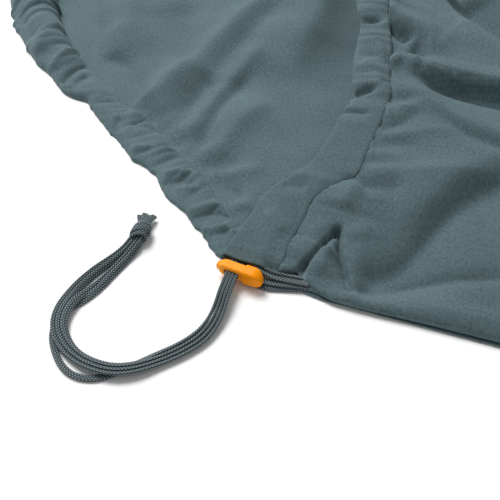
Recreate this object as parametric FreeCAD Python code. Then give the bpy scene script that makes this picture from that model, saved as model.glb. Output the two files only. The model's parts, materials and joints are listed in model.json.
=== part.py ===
import FreeCAD, Part
import math
import os

# Hooded camp quilt, laid out on a flat surface with its neck drawcord loose.
# X runs along the quilt (head at -X, foot at +X), Y across it, Z up, in millimetres.
# The origin is on the surface, under the middle of the quilt.

V = FreeCAD.Vector

# Plan of the quilt
LENGTH = 2200.0            # hood apex to foot seam
HOOD_RADIUS = 250.0        # rounded head end of the hood
HOOD_CENTRE_X = -850.0
CORNER_X = -808.0          # outer neck corner, where hood casing and chest casing meet
CORNER_Y = 352.0
NECK_X = -757.0            # seam between hood and body, and mouth of the cord exit
NECK_HALF = 366.0
SHOULDER_X = -430.0
SHOULDER_HALF = 380.0
FOOT_X = LENGTH / 2
FOOT_RADIUS = 70.0
FOOT_HALF = 255.0

# Cloth, seams and casings
CLOTH = 1.2
SEAM_WIDTH = 6.0
SEAM_HEIGHT = 6.4
HOOD_CASING_WIDTH = 28.0
CASING_HEIGHT = 4.0
CASING_WALL = 0.8
CHEST_CASING_FRONT = -785.0
CHEST_CASING_HALF = 348.0
HOOD_PANEL_HALF = 345.7

# Arch of the upper layer: place along X, half width at the seam, height of the crown
ARCH_STATIONS = [
    (-820.0, NECK_HALF, 70.0),
    (NECK_X, NECK_HALF, 70.0),
    (SHOULDER_X, SHOULDER_HALF, 74.0),
    (FOOT_X - FOOT_RADIUS, FOOT_HALF, 48.0),
    (FOOT_X + 1.0, FOOT_HALF, 30.0),
]

# Drawcord and its lock
CORD = 1.9                 # thickness of the flat braid, modelled as a round tube
CORD_Z = 2.2               # centre height of a braid lying inside the cloth
ENTRY_DEPTH = 2.2          # depth of a braid's centre under the arch where it enters the chest casing
SLOT_X = -796.0            # middle of the four braids where they pass the lock
SLOT_Y = -364.0
LOCK_Z = 7.0               # height of the lock's long axis
LOCK_ANGLE = -9.5          # lock's long axis in plan, degrees from +X
LOCK_LENGTH = 30.3
SLOT_AT = 10.7             # from the lock's closed tip to the middle of its slot
LOCK_WALL = 1.0
BARREL = (20.6, 7.6, 8.4)  # length, width, height
BUTTON = (9.4, 9.8)        # width and height of the push button
CORNER_SHARE = 0.25        # corner radius of both mouldings over their width
BUTTON_START = 17.9
BUTTON_HOLLOW = 23.3
BUTTON_TRAVEL = 2.0
RUNNING_GAP = 0.1
SLOT_HEIGHT = 3.9
BARREL_SLOT_HALF = 4.95
STEM_SLOT_HALF = 4.75
STEM_TIP = 5.0
LOCK_TIP = 6.0             # length of the barrel's rounded closed end

# Thread and the holes the braids pass
BARTACK_CLEAR = 0.05       # between a bartack and the casing walls around it
HOOD_BARTACK = (10.0, 16.0)             # across and along the hood casing
TOP_BARTACK = ((-776.0, 335.0), (-760.0, 345.0))    # near and far corner in plan
EXIT_BARTACK = (3.5, -349.4, -345.8)    # length along the seam, then its two sides
BUTTONHOLE = ((-334.0, 8.0), (-314.0, 18.6))        # across the quilt and up
TALL = 200.0               # above everything, for cutting

# Loose tail
# Each free braid from the exit, through the lock, round the loose tail and into the knot.
FREE_BRAIDS = [
    [(-757.0, -353.6, 2.3), (-765.0, -353.3, 3.4), (-775.0, -352.2, 5.2), (-784.5, -350.9, 6.6),
     (-792.8, -350.5, 7.0), (-799.15, -350.8, 7.0), (-799.15, -381.5, 7.0), (-798.6, -391.5, 3.6),
     (-799.6, -402.0, 1.0), (-803.0, -413.5, 1.0), (-810.5, -425.0, 1.0), (-820.5, -435.5, 1.0),
     (-829.5, -446.0, 1.0), (-838.0, -455.5, 1.0), (-847.5, -461.5, 1.0), (-858.0, -462.5, 1.0),
     (-867.5, -458.0, 1.0), (-875.5, -449.5, 1.0), (-881.5, -440.0, 1.0), (-884.3, -429.0, 1.0),
     (-881.5, -418.0, 1.0), (-875.5, -408.5, 1.0), (-870.5, -398.0, 1.0), (-867.5, -386.5, 1.0),
     (-864.6, -375.5, 1.2), (-861.8, -365.5, 2.4), (-860.0, -357.5, 4.2), (-859.8, -350.5, 4.6)],
    [(-757.0, -357.0, 4.3), (-765.5, -356.2, 4.8), (-776.0, -354.4, 5.8), (-785.0, -353.1, 6.7),
     (-791.2, -352.6, 7.0), (-797.05, -352.9, 7.0), (-797.05, -381.5, 7.0), (-796.4, -391.8, 3.7),
     (-797.3, -402.8, 1.0), (-800.8, -415.0, 1.0), (-808.7, -426.9, 1.0), (-818.7, -437.4, 1.6),
     (-828.3, -446.6, 3.3), (-838.6, -451.3, 3.4), (-850.5, -450.8, 3.0), (-862.0, -446.6, 1.2),
     (-871.5, -440.0, 1.6), (-878.0, -431.5, 3.4), (-880.4, -421.0, 3.4), (-879.0, -410.5, 3.4),
     (-874.6, -399.5, 1.4), (-870.2, -388.0, 1.0), (-867.0, -377.0, 1.2), (-864.2, -366.8, 2.4),
     (-862.2, -358.2, 4.2), (-861.9, -350.5, 4.6)],
    [(-757.0, -359.0, 4.4), (-765.0, -361.8, 3.0), (-774.5, -364.3, 1.2), (-784.5, -363.7, 1.0),
     (-792.2, -361.2, 1.0), (-794.95, -355.9, 1.0), (-794.95, -355.9, 7.0), (-794.95, -381.5, 7.0),
     (-794.2, -392.0, 3.8), (-794.9, -403.6, 1.0), (-798.4, -416.4, 1.0), (-806.8, -428.8, 1.0),
     (-817.0, -439.4, 1.6), (-826.9, -448.9, 3.3), (-838.0, -454.0, 3.4), (-850.8, -453.7, 3.2),
     (-863.2, -449.3, 1.6), (-873.4, -442.4, 1.6), (-880.8, -432.8, 3.4), (-883.6, -421.0, 3.4),
     (-883.3, -408.5, 1.8), (-880.8, -396.0, 1.0), (-876.2, -384.0, 1.0), (-870.8, -373.8, 1.4),
     (-866.8, -365.3, 2.6), (-864.4, -357.6, 4.2), (-864.0, -350.5, 4.6)],
    [(-757.0, -359.0, 2.2), (-765.5, -360.4, 1.4), (-775.0, -361.9, 1.0), (-783.5, -361.0, 1.0),
     (-789.9, -359.6, 1.0), (-792.85, -355.9, 1.0), (-792.85, -355.9, 7.0), (-792.85, -381.5, 7.0),
     (-792.0, -392.2, 3.9), (-792.5, -404.2, 1.0), (-796.0, -417.8, 1.0), (-804.9, -430.7, 1.0),
     (-815.3, -441.4, 1.6), (-825.5, -451.2, 3.2), (-837.4, -456.8, 3.4), (-851.2, -456.6, 3.3),
     (-864.4, -452.1, 1.6), (-875.4, -444.8, 1.6), (-883.6, -434.0, 3.4), (-886.6, -421.0, 3.4),
     (-886.3, -407.5, 1.8), (-883.6, -394.5, 1.0), (-878.6, -382.0, 1.0), (-872.8, -371.6, 1.4),
     (-868.6, -363.6, 2.8), (-866.5, -356.8, 4.3), (-866.1, -350.5, 4.6)],
]

KNOT = (-862.8, -348.0, 4.8)
KNOT_RADIUS = 4.7
KNOT_HALF = 6.6
KNOT_TURN = 8.0
# Where the fanned cut ends stop, measured from the knot's middle along and across it.
CUT_ENDS = [(16.5, -4.6, -2.6), (18.5, -1.6, -3.4), (15.5, 1.4, -1.8), (17.0, 4.6, -2.8)]


def polygon(points):
    corners = [V(x, y, 0) for x, y in points]
    return Part.Face(Part.makePolygon(corners + corners[:1]))


def prism(face, low, high):
    solid = face.extrude(V(0, 0, high - low))
    solid.translate(V(0, 0, low))
    return solid


def block(low, high):
    size = [b - a for a, b in zip(low, high)]
    return Part.makeBox(*size, V(*low))


def export(name, shape):
    shape.exportStep("parts/" + name + ".step")
    print(name, "solids", len(shape.Solids), "volume", round(shape.Volume, 1), shape.isValid())


def body_face(inset):
    """Plan of the body below the neck, drawn in by the inset on its sides and foot."""
    centre = FOOT_HALF - FOOT_RADIUS
    radius = FOOT_RADIUS - inset
    corner = FOOT_X - FOOT_RADIUS
    reach = radius * math.sqrt(0.5)
    near = [V(NECK_X, inset - NECK_HALF, 0), V(SHOULDER_X, inset - SHOULDER_HALF, 0),
            V(corner, inset - FOOT_HALF, 0)]
    far = [V(p.x, -p.y, 0) for p in reversed(near)]
    low = V(corner + radius, -centre, 0)
    high = V(corner + radius, centre, 0)
    edges = [Part.LineSegment(near[0], near[1]), Part.LineSegment(near[1], near[2])]
    edges.append(Part.Arc(near[2], V(corner + reach, -centre - reach, 0), low))
    edges.append(Part.LineSegment(low, high))
    edges.append(Part.Arc(high, V(corner + reach, centre + reach, 0), far[0]))
    edges += [Part.LineSegment(far[0], far[1]), Part.LineSegment(far[1], far[2]),
              Part.LineSegment(far[2], near[0])]
    return Part.Face(Part.Wire([edge.toShape() for edge in edges]))


# The straight rim of the hood is tangent to its round head end.
def rim_angle():
    """Angle of the rim's inward normal, so that the rim meets the neck corner."""
    dx = CORNER_X - HOOD_CENTRE_X
    distance = math.hypot(dx, CORNER_Y)
    return math.atan2(CORNER_Y, -dx) - math.acos(HOOD_RADIUS / distance)


RIM = rim_angle()
INWARD = (math.cos(RIM), math.sin(RIM))
TOWARD_CORNER = (math.sin(RIM), -math.cos(RIM))


def hood_face(inset):
    """Plan of the hood, drawn in by the inset; its straight rims run on past the neck corners."""
    radius = HOOD_RADIUS - inset
    start = V(HOOD_CENTRE_X - radius * INWARD[0], -radius * INWARD[1], 0)
    run = (NECK_X - start.x) / TOWARD_CORNER[0]
    end = V(NECK_X, start.y + run * TOWARD_CORNER[1], 0)
    apex = V(HOOD_CENTRE_X - radius, 0, 0)
    start_far = V(start.x, -start.y, 0)
    end_far = V(end.x, -end.y, 0)
    edges = [Part.LineSegment(end, start), Part.Arc(start, apex, start_far)]
    edges += [Part.LineSegment(start_far, end_far), Part.LineSegment(end_far, end)]
    return Part.Face(Part.Wire([edge.toShape() for edge in edges]))


def beyond_corner(side):
    """Plan area past the open end of the hood casing, on the near (-1) or far (+1) side."""
    base = [(-10.0, 0.0), (HOOD_CASING_WIDTH, 0.0), (HOOD_CASING_WIDTH, 120.0), (-10.0, 120.0)]
    points = []
    for across, along in base:
        x = CORNER_X + across * INWARD[0] + along * TOWARD_CORNER[0]
        y = -CORNER_Y + across * INWARD[1] + along * TOWARD_CORNER[1]
        points.append((x, -side * y))
    return polygon(points)


def arch_wire(station, drop_outer, drop_inner):
    """One cross-section of the upper layer, between two depths below its outer face."""
    x, half, crown = station
    edge = half - SEAM_WIDTH
    outer = [V(x, -edge, SEAM_HEIGHT - drop_outer), V(x, 0, crown - drop_outer),
             V(x, edge, SEAM_HEIGHT - drop_outer)]
    inner = [V(x, edge, SEAM_HEIGHT - drop_inner), V(x, 0, crown - drop_inner),
             V(x, -edge, SEAM_HEIGHT - drop_inner)]
    edges = [Part.Arc(*outer), Part.LineSegment(outer[2], inner[0]), Part.Arc(*inner)]
    edges.append(Part.LineSegment(inner[2], outer[0]))
    return Part.Wire([edge.toShape() for edge in edges])


def arch_shell(stations, drop_outer, drop_inner):
    wires = [arch_wire(station, drop_outer, drop_inner) for station in stations]
    return Part.makeLoft(wires, True, True)


def arch_height(y):
    """Height of the upper layer's outer face at the neck, at a place across the quilt."""
    edge = NECK_HALF - SEAM_WIDTH
    rise = ARCH_STATIONS[0][2] - SEAM_HEIGHT
    radius = (edge * edge + rise * rise) / (2 * rise)
    return ARCH_STATIONS[0][2] - radius + math.sqrt(radius * radius - y * y)


def tube(name, points, diameter):
    """Round tube along straight runs joined by tangent arcs, each as large as its two runs allow."""
    points = [V(*p) for p in points]
    edges = []
    radii = []
    start = points[0]
    for before, corner, after in zip(points, points[1:], points[2:]):
        back = (before - corner).normalize()
        ahead = (after - corner).normalize()
        turn = math.pi - back.getAngle(ahead)
        reach = 0.45 * min((corner - before).Length, (after - corner).Length)
        radius = reach / math.tan(turn / 2)
        into = corner + back * reach
        out = corner + ahead * reach
        bisector = (back + ahead).normalize()
        middle = corner + bisector * (radius / math.cos(turn / 2) - radius)
        edges.append(Part.LineSegment(start, into).toShape())
        edges.append(Part.Arc(into, middle, out).toShape())
        radii.append(round(radius, 1))
        start = out
    edges.append(Part.LineSegment(start, points[-1]).toShape())
    path = Part.Wire(edges)
    circle = Part.Circle(points[0], points[1] - points[0], diameter / 2)
    ring = Part.Wire([circle.toShape()])
    solid = path.makePipeShell([ring], True, False)
    section = math.pi * diameter * diameter / 4
    print(name, "length", round(path.Length, 1), "smallest radii", sorted(radii)[:4],
          "volume ratio", round(solid.Volume / (section * path.Length), 4))
    return solid


def cloth_panels():
    export("back_panel", prism(body_face(SEAM_WIDTH), 0, CLOTH))
    seam = prism(body_face(0), 0, SEAM_HEIGHT).cut(prism(body_face(SEAM_WIDTH), -1, SEAM_HEIGHT + 1))
    export("side_seam_near", seam.common(block((-1200, -500, -1), (1200, 0, 50))))
    export("side_seam_far", seam.common(block((-1200, 0, -1), (1200, 500, 50))))
    stations = ARCH_STATIONS[1:]
    plan = prism(body_face(SEAM_WIDTH), -1, TALL)
    export("top_panel", arch_shell(stations, 0, CLOTH).common(plan))
    wall = plan.cut(prism(body_face(SEAM_WIDTH + CLOTH), -2, TALL + 1))
    under = arch_shell(stations[2:], CLOTH, 40.0)
    under = under.fuse(block((FOOT_X - FOOT_RADIUS, -300, -10), (FOOT_X, 300, 2.0)))
    foot = wall.common(under).common(block((FOOT_X - FOOT_RADIUS, -300, CLOTH), (FOOT_X, 300, 100)))
    export("foot_panel", foot)


def hood():
    rim_end = beyond_corner(-1).fuse(beyond_corner(1))
    outside = prism(rim_end, -5, 20)
    rim = prism(hood_face(0), 0, CASING_HEIGHT)
    rim = rim.cut(prism(hood_face(HOOD_CASING_WIDTH), -1, CASING_HEIGHT + 1))
    hollow = prism(hood_face(CASING_WALL), CASING_WALL, CASING_HEIGHT - CASING_WALL)
    hollow = hollow.cut(prism(hood_face(HOOD_CASING_WIDTH - CASING_WALL), -1, CASING_HEIGHT + 1))
    export("hood_casing", rim.cut(hollow).cut(outside))
    sheet = prism(hood_face(0), 0, CLOTH).cut(rim.cut(outside))
    limits = block((-1200, -HOOD_PANEL_HALF, -1), (NECK_X, HOOD_PANEL_HALF, 10))
    export("hood_panel", sheet.common(limits))


def chest_casing():
    stations = ARCH_STATIONS[:2]
    half = CHEST_CASING_HALF
    front = CHEST_CASING_FRONT
    band = arch_shell(stations, 0, CASING_HEIGHT).common(block((front, -half, -1), (NECK_X, half, 100)))
    inner = block((front + CASING_WALL, CASING_WALL - half, -1),
                  (NECK_X - CASING_WALL, half - CASING_WALL, 100))
    hollow = arch_shell(stations, CASING_WALL, CASING_HEIGHT - CASING_WALL).common(inner)
    # Buttonhole in the casing's rear wall, where the two chest braids enter it.
    (low_y, low_z), (high_y, high_z) = BUTTONHOLE
    buttonhole = block((NECK_X - 2, low_y, low_z), (NECK_X + 1, high_y, high_z))
    buttonhole = buttonhole.common(arch_shell([(-780.0,) + stations[1][1:], (-700.0,) + stations[1][1:]],
                                              CASING_WALL, CASING_HEIGHT - CASING_WALL))
    export("top_casing", band.cut(hollow).cut(buttonhole))


def rim_point(offset, along):
    """A point inside the near hood casing, by its offset from the edge and distance from the corner."""
    x = CORNER_X + offset * INWARD[0] - along * TOWARD_CORNER[0]
    y = -CORNER_Y + offset * INWARD[1] - along * TOWARD_CORNER[1]
    return x, y


def hood_braid(name, lead_in, offset, last):
    """One braid from the exit, through the hood casing, to its anchor at the far corner."""
    points = list(lead_in)
    stations = [(26.0, 0.0), (80.0, -2.0), (137.0, 2.0), (194.0, -1.5)]
    for along, bow in stations:
        x, y = rim_point(offset, along)
        points.append((x, y + bow, CORD_Z))
    steps = 8
    radius = (HOOD_RADIUS - offset) / math.cos(RIM / steps)
    for step in range(steps + 1):
        angle = math.pi + RIM - 2 * RIM * step / steps
        points.append((HOOD_CENTRE_X + radius * math.cos(angle), radius * math.sin(angle), CORD_Z))
    for along, bow in reversed(stations[1:]):
        x, y = rim_point(offset, along)
        points.append((x, -y - bow, CORD_Z))
    x, y = rim_point(offset, last)
    points.append((x, -y, CORD_Z))
    export(name, tube(name, points, CORD))


def chest_braid(name, pocket, entry, x, last):
    """One braid from the exit pocket, up under the arch, through the chest casing and to its anchor."""
    points = list(pocket)
    points += [(px, py, arch_height(py) - ENTRY_DEPTH) for px, py in entry]
    steps = 16
    first = -300.0
    for step in range(steps + 1):
        y = first + (last - first) * step / steps
        bow = 0.8 if step % 2 else -0.8
        points.append((x + bow, y, arch_height(y) - CASING_HEIGHT / 2 + 0.1))
    export(name, tube(name, points, CORD))


def held_braids():
    hood_braid("hood_drawcord_1", [(NECK_X, -353.6, 2.3), (-750.0, -353.2, CORD_Z), (-744.5, -347.8, CORD_Z),
                                   (-748.5, -341.5, CORD_Z), (-760.0, -339.2, CORD_Z),
                                   (-778.0, -340.5, CORD_Z), (-797.0, -342.0, CORD_Z)], 12.0, 12.0)
    hood_braid("hood_drawcord_2", [(NECK_X, -359.0, CORD_Z), (-743.5, -358.2, CORD_Z),
                                   (-734.8, -349.5, CORD_Z),
                                   (-738.5, -338.0, CORD_Z), (-756.0, -334.2, CORD_Z),
                                   (-776.0, -335.6, CORD_Z), (-794.0, -337.4, CORD_Z)], 16.0, 12.0)
    chest_braid("top_drawcord_1", [(NECK_X, -357.0, 4.3), (-749.0, -356.2, 4.6), (-740.5, -349.2, 6.0)],
                [(-741.2, -337.5), (-750.5, -330.0), (-764.0, -326.0), (-770.0, -314.0)], -770.5, 338.0)
    chest_braid("top_drawcord_2", [(NECK_X, -359.0, 4.4), (-744.5, -358.0, 4.6), (-735.5, -349.0, 6.2)],
                [(-736.0, -334.5), (-747.0, -325.6), (-760.5, -320.6), (-766.0, -309.5)], -766.5, 338.0)


def tail_knot():
    profile_top = V(KNOT_RADIUS, 0, 0)
    ends = [V(1.6, -KNOT_HALF, 0), V(1.6, KNOT_HALF, 0)]
    edges = [Part.Arc(ends[0], profile_top, ends[1]).toShape()]
    edges.append(Part.LineSegment(ends[1], V(0, KNOT_HALF, 0)).toShape())
    edges.append(Part.LineSegment(V(0, KNOT_HALF, 0), V(0, -KNOT_HALF, 0)).toShape())
    edges.append(Part.LineSegment(V(0, -KNOT_HALF, 0), ends[0]).toShape())
    knot = Part.Face(Part.Wire(edges)).revolve(V(0, 0, 0), V(0, 1, 0), 360)
    for along, across, down in CUT_ENDS:
        tip = V(across, along, down)
        root = V(across * 0.25, KNOT_HALF - 3.0, -0.5)
        knot = knot.fuse(Part.makeCylinder(CORD / 2, (tip - root).Length, root, tip - root))
    knot.rotate(V(0, 0, 0), V(0, 0, 1), KNOT_TURN)
    knot.translate(V(*KNOT))
    export("tail_knot", knot)


def free_braids():
    for number, points in enumerate(FREE_BRAIDS, 1):
        name = "tail_strand_%d" % number
        export(name, tube(name, points, CORD))


def rounded_section(at, width, height, shift_y=0.0, shift_z=0.0):
    """Rounded rectangle across the lock's long axis, as a closed wire."""
    y, z = width / 2, height / 2
    r = CORNER_SHARE * width
    bend = r * (1 - math.sqrt(0.5))
    corners = []
    for sy, sz in ((1, 1), (-1, 1), (-1, -1), (1, -1)):
        side = V(at, sy * y, sz * (z - r))
        top = V(at, sy * (y - r), sz * z)
        middle = V(at, sy * (y - bend), sz * (z - bend))
        corners.append((side, middle, top) if sy * sz > 0 else (top, middle, side))
    edges = []
    for here, after in zip(corners, corners[1:] + corners[:1]):
        edges.append(Part.Arc(*here).toShape())
        edges.append(Part.LineSegment(here[2], after[0]).toShape())
    wire = Part.Wire(edges)
    wire.translate(V(0, shift_y, shift_z))
    return wire


def place_lock(shape):
    """Move a lock piece from its own axis, with X from the closed tip, to its place on the braids."""
    shape.translate(V(-SLOT_AT, 0, 0))
    shape.rotate(V(0, 0, 0), V(0, 0, 1), LOCK_ANGLE)
    shape.translate(V(SLOT_X, SLOT_Y, LOCK_Z))
    return shape


def cord_lock():
    length, width, height = BARREL
    sections = []
    for step in range(7):
        at = LOCK_TIP * step / 6
        grow = max(0.55, math.sqrt(1 - (1 - at / LOCK_TIP) ** 2))
        sections.append(rounded_section(at, width * grow, height * grow))
    sections.append(rounded_section(length, width, height))
    barrel = Part.makeLoft(sections, True, True)
    half_width = width / 2 - LOCK_WALL
    half_height = height / 2 - LOCK_WALL
    barrel = barrel.cut(block((2.8, -half_width, -half_height), (length + 1, half_width, half_height)))
    barrel = barrel.cut(Part.makeCylinder(1.7, 3.0, V(1.0, 0, 0), V(1, 0, 0)))
    slot_z = SLOT_HEIGHT / 2
    barrel = barrel.cut(block((SLOT_AT - BARREL_SLOT_HALF, -10, -slot_z),
                              (SLOT_AT + BARREL_SLOT_HALF, 10, slot_z)))
    export("lock_barrel", place_lock(barrel))

    stem = block((STEM_TIP, RUNNING_GAP - half_width, RUNNING_GAP - half_height),
                 (BUTTON_HOLLOW + 0.5, half_width - RUNNING_GAP, half_height - RUNNING_GAP))
    stem = stem.cut(block((SLOT_AT - STEM_SLOT_HALF, -10, -slot_z),
                          (SLOT_AT + STEM_SLOT_HALF + BUTTON_TRAVEL, 10, slot_z)))
    wide, high = BUTTON
    nose = [(BUTTON_START, 0.95, 0, 0), (BUTTON_START + 0.5, 1.0, 0, 0), (24.5, 1.0, 0, 0),
            (26.6, 0.93, -0.2, -0.2), (28.4, 0.76, -0.5, -0.5), (29.7, 0.52, -0.8, -0.8),
            (LOCK_LENGTH, 0.34, -0.9, -0.9)]
    head = Part.makeLoft([rounded_section(at, wide * k, high * k, y, z) for at, k, y, z in nose], True, True)
    room = rounded_section(BUTTON_START - 1, width + 2 * RUNNING_GAP, height + 2 * RUNNING_GAP)
    head = head.cut(Part.Face(room).extrude(V(BUTTON_HOLLOW - BUTTON_START + 1, 0, 0)))
    export("lock_button", place_lock(head.fuse(stem).removeSplitter()))

    wire = 0.4
    start = 1.0
    free_length = STEM_TIP - start
    helix = Part.makeHelix((free_length - wire - 0.1) / 3, free_length - wire - 0.1, 1.4)
    circle = Part.Circle(V(1.4, 0, 0), V(0, 1, 0), wire / 2)
    spring = Part.Wire(helix).makePipeShell([Part.Wire([circle.toShape()])], True, True)
    spring.translate(V(0, 0, wire / 2 + 0.05))
    spring.rotate(V(0, 0, 0), V(0, 1, 0), 90)
    spring.translate(V(start, 0, 0))
    export("lock_spring", place_lock(spring))


def bartacks():
    """Dense blocks of thread that hold the braids' far ends and the near edge of the exit."""
    low = CASING_WALL + BARTACK_CLEAR
    high = CASING_HEIGHT - low
    across, along = HOOD_BARTACK
    x, y = rim_point(HOOD_CASING_WIDTH / 2, along / 2)
    tack = block((-across / 2, -along / 2, low), (across / 2, along / 2, high))
    tack.rotate(V(0, 0, 0), V(0, 0, 1), math.degrees(math.pi / 2 - RIM))
    tack.translate(V(x, -y, 0))
    export("hood_anchor_bartack", tack)
    near, far = TOP_BARTACK
    shell = arch_shell(ARCH_STATIONS[:2], low, high)
    export("top_anchor_bartack", shell.common(block(near + (-1.0,), far + (TALL,))))
    before_neck = (CHEST_CASING_FRONT - 35.0,) + ARCH_STATIONS[0][1:]
    roof = arch_shell([before_neck, ARCH_STATIONS[1], ARCH_STATIONS[2]], CLOTH, 30.0)
    length, side, other = EXIT_BARTACK
    post = block((NECK_X, side, CLOTH), (NECK_X + length, other, TALL))
    floor = block((CHEST_CASING_FRONT, side - 10, -5), (NECK_X + 50, other + 10, CLOTH + 1))
    export("exit_bartack", post.common(roof.fuse(floor)))


if __name__ == "__main__":
    os.makedirs("parts", exist_ok=True)
    cloth_panels()
    hood()
    chest_casing()
    held_braids()
    free_braids()
    tail_knot()
    cord_lock()
    bartacks()
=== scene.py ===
"""Looks of a hooded camp quilt: woven cloth with gathered casings, flat braids, a cord lock and a knot."""

import json
import math

import bpy
import numpy as np
from mathutils import Matrix, Vector
from mathutils.bvhtree import BVHTree

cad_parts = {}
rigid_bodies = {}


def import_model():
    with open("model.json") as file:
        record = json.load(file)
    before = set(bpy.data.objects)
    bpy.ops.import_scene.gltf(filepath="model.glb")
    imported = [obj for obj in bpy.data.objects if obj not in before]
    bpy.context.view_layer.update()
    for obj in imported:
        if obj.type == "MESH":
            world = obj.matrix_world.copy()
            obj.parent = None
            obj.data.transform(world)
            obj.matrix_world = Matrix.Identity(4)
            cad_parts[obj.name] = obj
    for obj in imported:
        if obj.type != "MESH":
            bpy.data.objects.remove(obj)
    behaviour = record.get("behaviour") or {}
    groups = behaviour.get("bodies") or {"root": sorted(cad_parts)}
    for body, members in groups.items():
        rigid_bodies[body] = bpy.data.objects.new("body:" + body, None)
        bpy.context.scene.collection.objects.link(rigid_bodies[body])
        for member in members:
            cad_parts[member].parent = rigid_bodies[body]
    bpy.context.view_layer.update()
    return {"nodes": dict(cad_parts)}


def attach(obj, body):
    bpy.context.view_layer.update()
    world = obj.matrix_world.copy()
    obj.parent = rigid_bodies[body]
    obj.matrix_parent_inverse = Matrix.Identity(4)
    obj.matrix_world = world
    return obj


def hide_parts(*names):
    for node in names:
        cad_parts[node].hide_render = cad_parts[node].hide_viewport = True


bl_info = {
    "name": "Camp quilt",
    "version": (1, 0, 0),
    "blender": (4, 5, 0),
    "location": "3D View > Sidebar > Camp quilt",
    "description": "Builds the cloth, cords, lock and stitching of a hooded camp quilt",
    "category": "Object",
}

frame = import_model()

MM = 0.001

# Plan of the quilt in millimetres: X from hood to foot, Y across it, Z up.
HOOD_RADIUS = 250.0
HOOD_CENTRE_X = -850.0
CORNER = np.array([-808.0, -352.0])
NECK_X = -757.0
FOOT_X = 1100.0
FOOT_RADIUS = 70.0
RIM_TURN = math.radians(51.67)
INWARD = np.array([math.cos(RIM_TURN), math.sin(RIM_TURN)])
TOWARD_CORNER = np.array([INWARD[1], -INWARD[0]])
STRAIGHT_RIM = float(np.hypot(CORNER[0] - HOOD_CENTRE_X + HOOD_RADIUS * INWARD[0],
                              CORNER[1] + HOOD_RADIUS * INWARD[1]))
RIM_LENGTH = 2 * STRAIGHT_RIM + 2 * RIM_TURN * HOOD_RADIUS
# Upper layer: place along X, half width at the seam, height of the crown.
ARCH = np.array([(-820, 366, 70), (-757, 366, 70), (-430, 380, 74), (1030, 255, 48), (1101, 255, 30)], float)
SEAM = 6.0


def hex_colour(code):
    """Linear colour of an sRGB hex code such as 627478."""
    values = [int(code[i:i + 2], 16) / 255 for i in (0, 2, 4)]
    return tuple(v / 12.92 if v <= 0.04045 else ((v + 0.055) / 1.055) ** 2.4 for v in values)


# ---------------------------------------------------------------- numbers

def smooth(t):
    t = np.clip(t, 0.0, 1.0)
    return t * t * (3 - 2 * t)


def knots(at, table):
    """Smooth curve through a table of (place, value), held flat past its ends."""
    table = np.asarray(table, float)
    p, v = table[:, 0], table[:, 1]
    slope = np.gradient(v, p)
    at = np.clip(np.asarray(at, float), p[0], p[-1])
    i = np.clip(np.searchsorted(p, at) - 1, 0, len(p) - 2)
    h = p[i + 1] - p[i]
    t = (at - p[i]) / h
    a, b, m, n = v[i], v[i + 1], slope[i] * h, slope[i + 1] * h
    return a + t * (m + t * (3 * (b - a) - 2 * m - n + t * (2 * (a - b) + m + n)))


def field(seed):
    """Smooth random height field, from -1 to 1, with features about one unit across."""
    lattice = np.random.RandomState(seed).uniform(-1, 1, (64, 64))

    def value(x, y):
        x, y = np.broadcast_arrays(np.asarray(x, float), np.asarray(y, float))
        i, j = np.floor(x).astype(int), np.floor(y).astype(int)
        u, v = x - i, y - j
        u, v = u * u * u * (u * (6 * u - 15) + 10), v * v * v * (v * (6 * v - 15) + 10)
        a, b = lattice[i % 64, j % 64], lattice[(i + 1) % 64, j % 64]
        c, d = lattice[i % 64, (j + 1) % 64], lattice[(i + 1) % 64, (j + 1) % 64]
        return (a + (b - a) * u) * (1 - v) + (c + (d - c) * u) * v

    return value


def spline(points, step):
    """Even points along a smooth line through corner points, and each one's place in the list."""
    p = np.asarray(points, float)
    out, place = [], []
    mids = [p[0]] + [(a + b) / 2 for a, b in zip(p[1:-2], p[2:-1])] + [p[-1]]
    fine = 24
    for i, corner in enumerate(p[1:-1]):
        a, b = mids[i], mids[i + 1]
        for t in np.arange(fine) / fine:
            out.append((1 - t) ** 2 * a + 2 * t * (1 - t) * corner + t * t * b)
            place.append(i + 0.5 + t if i else t * 1.5)
    out.append(p[-1])
    place.append(len(p) - 1.0)
    out, place = np.array(out), np.array(place)
    length = np.concatenate([[0], np.cumsum(np.linalg.norm(np.diff(out, axis=0), axis=1))])
    at = np.linspace(0, length[-1], max(8, int(length[-1] / step)))
    line = np.stack([np.interp(at, length, out[:, k]) for k in range(out.shape[1])], 1)
    return line, np.interp(at, length, place), length[-1]


def beside(x, y, path):
    """Distance from a path, its side (+1 to the left) and the place along it from 0 to 1, for every point."""
    line = spline(path, 4.0)[0] if len(path) > 2 else np.asarray(path, float)
    total = np.sum(np.linalg.norm(np.diff(line, axis=0), axis=1))
    best, side, place, run = np.full(x.shape, 1e9), np.ones(x.shape), np.zeros(x.shape), 0.0
    for a, b in zip(line, line[1:]):
        d = b - a
        size = math.hypot(*d)
        t = np.clip(((x - a[0]) * d[0] + (y - a[1]) * d[1]) / size ** 2, 0, 1)
        away = np.hypot(x - a[0] - t * d[0], y - a[1] - t * d[1])
        near = away < best
        best = np.where(near, away, best)
        side = np.where(near, np.sign(d[0] * (y - a[1]) - d[1] * (x - a[0])), side)
        place = np.where(near, (run + t * size) / total, place)
        run += size
    return best, side, place


def folds(x, y, table):
    """Sum of folds. Each is (height, width left, width right, crest radius, start taper, end taper, path)."""
    total = np.zeros(x.shape)
    for height, left, right, crest, first, last, path in table:
        away, side, place = beside(x, y, path)
        width = np.where(side > 0, left, right)
        shape = np.exp(-(np.sqrt(away ** 2 + crest ** 2) - crest) / width)
        total += height * shape * smooth(place / max(first, 1e-3)) * smooth((1 - place) / max(last, 1e-3))
    return total


# ---------------------------------------------------------------- meshes

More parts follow.
